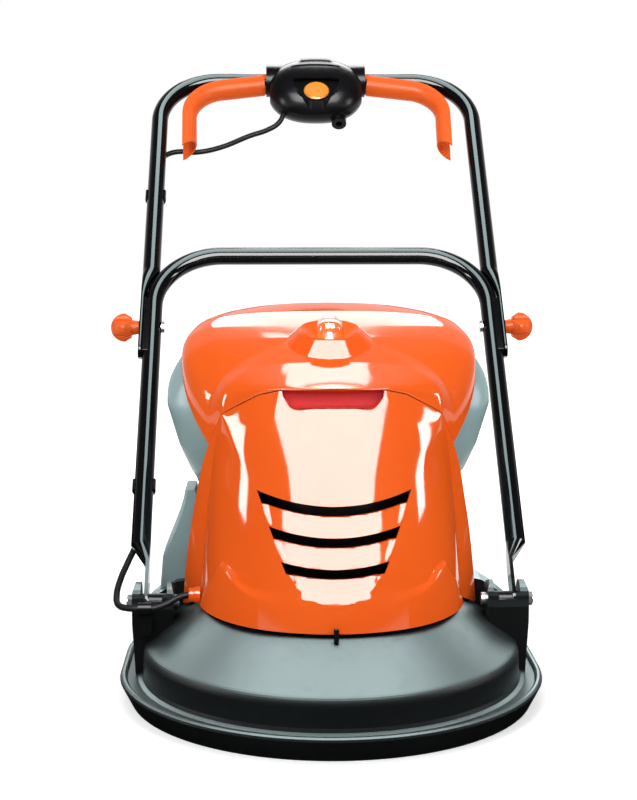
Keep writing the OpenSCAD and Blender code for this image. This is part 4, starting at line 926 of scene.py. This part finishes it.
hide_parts("indicator_dome")
white_plastic = moulded("white_float", (0.85, 0.85, 0.83), (0.78, 0.78, 0.76), 0.2, 900, 0.00002)
dress(white_plastic, "indicator_float")

# Handle pivots: zinc bolts and nuts through the hood's brackets.
# Black bushes keep each flattened leg in the middle of its bracket.
dress(zinc_steel, "pivot_bolts", "pivot_nuts")
dress(black_plastic, "pivot_bushes")

# Handle: two bent steel tubes in black gloss enamel, the upper one bolted outside the lower one
# so that it folds down over the mower.
enamel = moulded("black_enamel", (0.004, 0.004, 0.005), (0.003, 0.003, 0.004), 0.07, 300, 0.000002, 0.03,
                 specular=0.24)
dress(enamel, "lower_handle")
dress(zinc_steel, "handle_bolts")
PIVOT = (0, 0.015, 0.095)
HANDLE_LEAN = 45
HANDLE_POSE = Matrix.Translation(PIVOT) @ Matrix.Rotation(math.radians(-HANDLE_LEAN), 4, "X")
TUBE_R = 0.011
LEG_X = 0.207
UPPER_X = 0.212
CROSS_L = 0.498
CROSS_BEND = 0.083
TOP_L = 0.824
TOP_BEND = 0.080
STRAP_END = 0.335
STRAP_GAP = 0.0003
STRAP_IN = LEG_X + TUBE_R + STRAP_GAP
STRAP_HALF = 0.0023
STRAP_SQUARE = 3
BEND_REACH = 0.07
BEND_GAP = 0.0006
LEG_LENGTH = TOP_L - TOP_BEND - STRAP_END
BEND_LENGTH = TOP_BEND * math.pi / 2
HALF_LENGTH = LEG_LENGTH + BEND_LENGTH + UPPER_X - TOP_BEND
TUBE_SIDES = 40
TUBE_RINGS = 440


def leg_inside(along):
    """Inner side of the upper leg, whose end is pressed flat against the lower leg and its bend."""
    past = max(0, along - (CROSS_L - CROSS_BEND))
    if past > BEND_REACH:
        return UPPER_X - TUBE_R
    bend = LEG_X - CROSS_BEND + math.sqrt((CROSS_BEND + TUBE_R) ** 2 - past ** 2) + BEND_GAP
    return max(UPPER_X - TUBE_R, min(STRAP_IN, bend))


def upper_tube(across, up):
    """Upper handle from the left leg's pressed end over the top bar to the right one's."""
    side = -1 if up < 0.5 else 1
    run = HALF_LENGTH * (1 - abs(2 * up - 1))
    turn = min(max((run - LEG_LENGTH) / TOP_BEND, 0), math.pi / 2)
    bar = max(0, run - LEG_LENGTH - BEND_LENGTH)
    along = STRAP_END + min(run, LEG_LENGTH)
    half = (UPPER_X + TUBE_R - leg_inside(along)) / 2
    end = max(0, STRAP_END + TUBE_R - along)
    depth = math.sqrt(max(0, TUBE_R ** 2 - end ** 2))
    square = 2 / (2 + STRAP_SQUARE * (1 - (half - STRAP_HALF) / (TUBE_R - STRAP_HALF)))
    angle = math.pi * across
    out = half * math.copysign(abs(math.cos(angle)) ** square, math.cos(angle))
    y = depth * math.copysign(abs(math.sin(angle)) ** square, math.sin(angle))
    reach = TOP_BEND + TUBE_R - half + out
    x = UPPER_X - TOP_BEND - bar + reach * math.cos(turn)
    z = along + reach * math.sin(turn)
    return HANDLE_POSE @ Vector((side * x, y, z))


upper_mesh = shaped_grid(TUBE_SIDES, TUBE_RINGS, upper_tube)
close_ring(upper_mesh)
upper_bar = add_piece("upper_tube", upper_mesh, enamel)
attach(upper_bar, "handle_upper")
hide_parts("upper_handle")

# Saddles: black moulded blocks clipped on the lower legs.
# The pressed ends of the upper handle turn against them.
SADDLE_HALF = 0.0105
SADDLE_LOW = 0.338
SADDLE_HIGH = 0.420
SADDLE_EDGE = 0.0012
SADDLE_OUT = STRAP_IN - 0.0001
for side in (-1, 1):
    saddle_mesh = block((LEG_X, -SADDLE_HALF, SADDLE_LOW), (SADDLE_OUT, SADDLE_HALF, SADDLE_HIGH))
    bmesh.ops.bevel(saddle_mesh, geom=saddle_mesh.edges[:], offset=SADDLE_EDGE, affect="EDGES", segments=3,
                    profile=0.5, material=-1)
    bmesh.ops.transform(saddle_mesh, matrix=HANDLE_POSE @ Matrix.Diagonal((side, 1, 1, 1)),
                        verts=saddle_mesh.verts)
    bmesh.ops.recalc_face_normals(saddle_mesh, faces=saddle_mesh.faces)
    saddle = add_piece("leg_saddle", saddle_mesh, black_plastic)
    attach(saddle, "handle_lower")

# A narrow card overhead draws the line of light along the tubes
tube_card = lamp("tube_card", (0.0, 0.25, 2.0), (0, 0.25, 0), 0.9, 1.5, 65, card=True)
tube_card.data.color = CARD_TINT
tube_view = bpy.data.collections.new("tube_view")
tube_view.objects.link(nodes["lower_handle"])
tube_view.objects.link(upper_bar)
tube_card.light_linking.receiver_collection = tube_view

# Wing knobs: lobed orange mouldings on the joint's bolts.
# They are turned by hand to clamp the two handles together.
orange_satin = moulded("orange_satin", (0.90, 0.135, 0.018), (0.84, 0.115, 0.014), 0.34, 700, 0.00002,
                       specular=0.08)
dress(orange_satin, "left_knob", "right_knob")

# Switch box: an egg of two black shells clamped on the top bar, with collars round the bar,
# a brow groove and a half-round recess in front, and the amber start button standing in it.
POD_POSE = HANDLE_POSE @ Matrix.Translation((0, 0, TOP_L))
POD_HALF = 0.063
POD_B = 0.035
POD_A = 0.052
POD_DROP = 0.021
POD_WALL = 0.003
BUTTON_Z = -0.050
BUTTON_R = 0.017
SLEEVE_R = BUTTON_R + 0.004
CAP_HALF = 0.024
CAP_OUT = 0.0022
CAP_EDGE = 0.005
CAP_TURN = 0.35
CAP_SPAN = 0.78
CAP_FADE = 0.06
POD_BLUNT = 0.003
POD_POWER = 2.5
POD_ROUND = 0.4545
POD_COLUMNS = 120
POD_ROWS = 60
POD_SHARP = 32
POD_FRONT = -0.060
COLLAR_R = 0.022
COLLAR_IN = 0.046
COLLAR_OUT = 0.068
SLEEVE_BACK = -0.004
SLEEVE_FRONT = -0.028
RECESS_R = 0.0315
RECESS_Z = -0.030
RECESS_TOP = -0.027
RECESS_STEPS = 24
PLATE_R = 0.0345
PLATE_BACK = -0.024
PLATE_FRONT = -0.027
SLEEVE_ROOT = -0.020
BUTTON_GAP = 0.0003
FLANGE_GAP = 0.0022
FLANGE_BACK = -0.003
FLANGE_FRONT = -0.023
BROW_HALF = 0.034
BROW_FLOOR = -0.0295
BROW_LOW = -0.0065
BROW_HIGH = -0.0015
LEVER_X = 0.0493
LEVER_HALF = 0.0095
LEVER_DEEP = 0.0156
LEVER_LOW = -0.026
LEVER_HIGH = 0.005
ROOT_R = 0.0192
ROOT_IN = 0.045
ROOT_OUT = 0.070
BAR_BORE_R = 0.0112
BORE_HALF = 0.080
PARTING = 0.00025
PAST_POD = 0.1
PAST_LOW = -0.12
PAST_HIGH = 0.06


def pod_mesh(shrink):
    """Egg of the switch box, or its hollow, with a raised cap over the brow."""
    def place(across, up):
        """Point of the egg, run from its left end to its right and once round the bar."""
        reach = math.sin(math.pi / 2 * (2 * up - 1))
        scale = (1 - (abs(reach) * POD_HALF / (POD_HALF + POD_BLUNT)) ** POD_POWER) ** POD_ROUND
        turn = math.pi * across
        x = reach * (POD_HALF - shrink)
        cap = CAP_OUT * ease((CAP_HALF - abs(x)) / CAP_EDGE)
        cap *= ease((math.cos(turn - CAP_TURN) - CAP_SPAN) / CAP_FADE)
        swell = cap if shrink == 0 else 0
        return Vector((x, -(POD_B * scale - shrink + swell) * math.sin(turn),
                       (POD_A * scale - shrink + swell) * math.cos(turn) - POD_DROP))
    mesh = shaped_grid(POD_COLUMNS, POD_ROWS, place)
    bmesh.ops.remove_doubles(mesh, verts=mesh.verts, dist=1e-5)
    ends = [edge for edge in mesh.edges if edge.is_boundary]
    bmesh.ops.holes_fill(mesh, edges=ends)
    bmesh.ops.recalc_face_normals(mesh, faces=mesh.faces)
    return mesh


def half_round(radius):
    """Lower half of a circle in the front view, about the middle of the recess."""
    angles = [math.pi * (step / RECESS_STEPS - 0.5) for step in range(RECESS_STEPS + 1)]
    return [(radius * math.sin(angle), RECESS_Z - radius * math.cos(angle)) for angle in angles]


def button_rod(radius, back, front):
    """Cylinder on the button's axis."""
    return rod(radius, (0, back, BUTTON_Z), (0, front, BUTTON_Z), "Y")


# The egg gets its collars, is hollowed, and gets the button's sleeve and the plate round the recess
pod = add_piece("pod", pod_mesh(0), black_plastic)
for side in (-1, 1):
    cut_away(pod, rod(COLLAR_R, (side * COLLAR_IN, 0, 0), (side * COLLAR_OUT, 0, 0), "X"), "UNION")
cut_away(pod, pod_mesh(POD_WALL))
cut_away(pod, button_rod(SLEEVE_R, SLEEVE_BACK, SLEEVE_FRONT), "UNION")
plate = [(-PLATE_R, RECESS_TOP), *half_round(PLATE_R), (PLATE_R, RECESS_TOP)]
cut_away(pod, prism(plate, PLATE_BACK, PLATE_FRONT), "UNION")
# The recess leaves the sleeve standing, and the button's hole and flange room go through it
recess_piece = add_piece("recess", prism(half_round(RECESS_R), PLATE_FRONT, POD_FRONT), black_plastic)
cut_away(recess_piece, button_rod(SLEEVE_R, SLEEVE_ROOT, SLEEVE_FRONT))
recess_cut = bmesh.new()
recess_cut.from_mesh(recess_piece.data)
bpy.data.objects.remove(recess_piece)
cut_away(pod, recess_cut)
cut_away(pod, button_rod(BUTTON_R + BUTTON_GAP, 0, POD_FRONT))
cut_away(pod, button_rod(BUTTON_R + FLANGE_GAP, FLANGE_BACK, FLANGE_FRONT))
# Brow groove, room for the levers' roots, and the bore for the bar
cut_away(pod, block((-BROW_HALF, POD_FRONT, BROW_LOW), (BROW_HALF, BROW_FLOOR, BROW_HIGH)))
for side in (-1, 1):
    root = side * LEVER_X
    cut_away(pod, rod(ROOT_R, (side * ROOT_IN, 0, 0), (side * ROOT_OUT, 0, 0), "X"))
    cut_away(pod, block((root - LEVER_HALF, -LEVER_DEEP, LEVER_LOW),
                        (root + LEVER_HALF, LEVER_DEEP, LEVER_HIGH)))
cut_away(pod, rod(BAR_BORE_R, (-BORE_HALF, 0, 0), (BORE_HALF, 0, 0), "X"))
# The shell parts into a front and a rear half that are screwed together round the bar
for name, low, high in (("switch_front", -PAST_POD, -PARTING), ("switch_rear", PARTING, PAST_POD)):
    half = bpy.data.objects.new(name + "_shell", pod.data.copy())
    bpy.context.scene.collection.objects.link(half)
    cut_away(half, block((-PAST_POD, low, PAST_LOW), (PAST_POD, high, PAST_HIGH)), "INTERSECT")
    half.data.transform(POD_POSE)
    smooth(half.data, POD_SHARP)
    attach(half, "handle_upper")
    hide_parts(name)
bpy.data.objects.remove(pod)
amber = moulded("amber_button", (0.93, 0.31, 0.022), (0.90, 0.28, 0.018), 0.22, 800, 0.00003)
dress(black_plastic, "microswitch", "mains_inlet")
dress(zinc_steel, "pod_screws")
dress(amber, "start_button")

# Button spring: a coil of steel wire between the switch and the button's flange.
SPRING_R = 0.007
WIRE_R = 0.0006
SPRING_TURNS = 5
COIL_SIDES = 8
TURN_STEPS = 32
# The coil gives way by the button's 4 mm and a little more, so that the flange stays clear of it
press = Vector((0, 1, -1)).normalized()
low, high = (Vector(corner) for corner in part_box("button_spring"))
spring_length = (high.y - low.y) * math.sqrt(2) - 2 * SPRING_R
seat_point = (low + high) / 2 + press * spring_length / 2
rise_side = press.cross(Vector((1, 0, 0)))


def coil_face(across, up):
    """Point of the wire's skin: across runs round the wire, up along the coil from its seat."""
    turn = math.tau * SPRING_TURNS * up
    round_wire = math.pi * across
    radius = SPRING_R - WIRE_R + WIRE_R * math.cos(round_wire)
    along = WIRE_R + (spring_length - 2 * WIRE_R) * up + WIRE_R * math.sin(round_wire)
    side_way = Vector((math.cos(turn), 0, 0)) + rise_side * math.sin(turn)
    return seat_point + side_way * radius - press * along


coil_mesh = shaped_grid(COIL_SIDES, TURN_STEPS * SPRING_TURNS, coil_face)
bmesh.ops.remove_doubles(coil_mesh, verts=coil_mesh.verts, dist=1e-6)
bmesh.ops.holes_fill(coil_mesh, edges=[edge for edge in coil_mesh.edges if edge.is_boundary])
bmesh.ops.recalc_face_normals(coil_mesh, faces=coil_mesh.faces)
coil = add_piece("button_coil", coil_mesh, zinc_steel)
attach(coil, "handle_upper")
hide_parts("button_spring")
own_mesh(coil)

# Levers: orange channels pinned in the switch box, with springs that swing them open.
# They are squeezed up against the bar to run the motor.
dress(orange_satin, "left_lever", "right_lever")
dress(zinc_steel, "lever_pins", "lever_springs")

# Motor cable: round black flex from the switch box down the left legs to the cowl,
# held by snap clips, with bends drawn at the fold and at the hood.
rubber = moulded("cable_rubber", (0.006, 0.006, 0.007), (0.009, 0.009, 0.010), 0.45, 1600, 0.00004,
                 specular=0.08)
CABLE_R = 0.0035
CABLE_OFF = 0.0148


def on_handle(x, y, along):
    """Point of the handle's own frame, whose third axis runs up the legs from the pivot."""
    return HANDLE_POSE @ Vector((x, y, along))


def flex(name, points):
    """Round flex through its points, made a mesh."""
    curve = bpy.data.curves.new(name, "CURVE")
    curve.dimensions = "3D"
    curve.resolution_u = 8
    curve.bevel_depth = CABLE_R
    curve.bevel_resolution = 4
    spline = curve.splines.new("BEZIER")
    spline.bezier_points.add(len(points) - 1)
    for knot, point in zip(spline.bezier_points, points):
        knot.co = point
        knot.handle_left_type = "AUTO"
        knot.handle_right_type = "AUTO"
    rope = bpy.data.objects.new(name + "_route", curve)
    bpy.context.scene.collection.objects.link(rope)
    data = bpy.data.meshes.new_from_object(rope.evaluated_get(bpy.context.evaluated_depsgraph_get()))
    bpy.data.objects.remove(rope)
    data.name = name
    data.shade_smooth()
    data.materials.clear()
    data.materials.append(rubber)
    piece = bpy.data.objects.new(name, data)
    bpy.context.scene.collection.objects.link(piece)
    return piece


upper_points = [(-0.045, 0.004, TOP_L - 0.050), (-0.045, 0.004, TOP_L - 0.063),
                (-0.052, 0.009, TOP_L - 0.075), (-0.066, 0.014, TOP_L - 0.082),
                (-0.090, 0.0175, TOP_L - 0.090), (-0.131, 0.0205, TOP_L - 0.110),
                (-0.163, 0.0205, TOP_L - 0.119), (-0.188, 0.0205, TOP_L - 0.118),
                (-0.203, 0.020, TOP_L - 0.125), (-0.210, 0.018, TOP_L - 0.140),
                (-UPPER_X, CABLE_OFF + 0.0005, TOP_L - 0.162), (-UPPER_X, CABLE_OFF, TOP_L - 0.190),
                (-UPPER_X, CABLE_OFF, 0.600), (-UPPER_X, CABLE_OFF, 0.540), (-UPPER_X, CABLE_OFF, 0.490)]
fold_points = [(-UPPER_X, CABLE_OFF, 0.490), (-UPPER_X, CABLE_OFF, 0.465),
               (-UPPER_X + 0.001, CABLE_OFF, 0.430), (-UPPER_X + 0.003, CABLE_OFF, 0.390),
               (-LEG_X - 0.001, CABLE_OFF, 0.350), (-LEG_X, CABLE_OFF, 0.320), (-LEG_X, CABLE_OFF, 0.300)]
lower_points = [(-LEG_X, CABLE_OFF, along) for along in (0.300, 0.240, 0.180, 0.120)]
GLAND_Y = -0.009
loop_points = [(-LEG_X, 0.10995, 0.16905), (-LEG_X - 0.0015, 0.098, 0.157), (-LEG_X - 0.006, 0.084, 0.143),
               (-LEG_X - 0.014, 0.066, 0.127), (-LEG_X - 0.021, 0.042, 0.112),
               (-LEG_X - 0.023, 0.018, 0.101), (-LEG_X - 0.019, -0.002, 0.0955),
               (-LEG_X - 0.009, -0.014, 0.0955), (-LEG_X + 0.002, -0.018, 0.096),
               (-LEG_X + 0.018, -0.018, 0.096), (-LEG_X + 0.032, -0.016, 0.100),
               (-LEG_X + 0.043, -0.012, 0.105), (-0.152, GLAND_Y, 0.108), (-0.141, GLAND_Y, 0.108)]
upper_flex = flex("flex_upper", [on_handle(*point) for point in upper_points])
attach(upper_flex, "handle_upper")
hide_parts("cable_upper")
fold_flex = flex("flex_fold", [on_handle(*point) for point in fold_points])
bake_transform(fold_flex)
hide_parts("cable_fold")
lower_flex = flex("flex_lower", [on_handle(*point) for point in lower_points])
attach(lower_flex, "handle_lower")
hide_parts("cable_lower")
loop_flex = flex("flex_loop", [Vector(point) for point in loop_points])
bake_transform(loop_flex)
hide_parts("cable_loop")
dress(black_plastic, "upper_clip", "lower_clip", "bracket_clip")
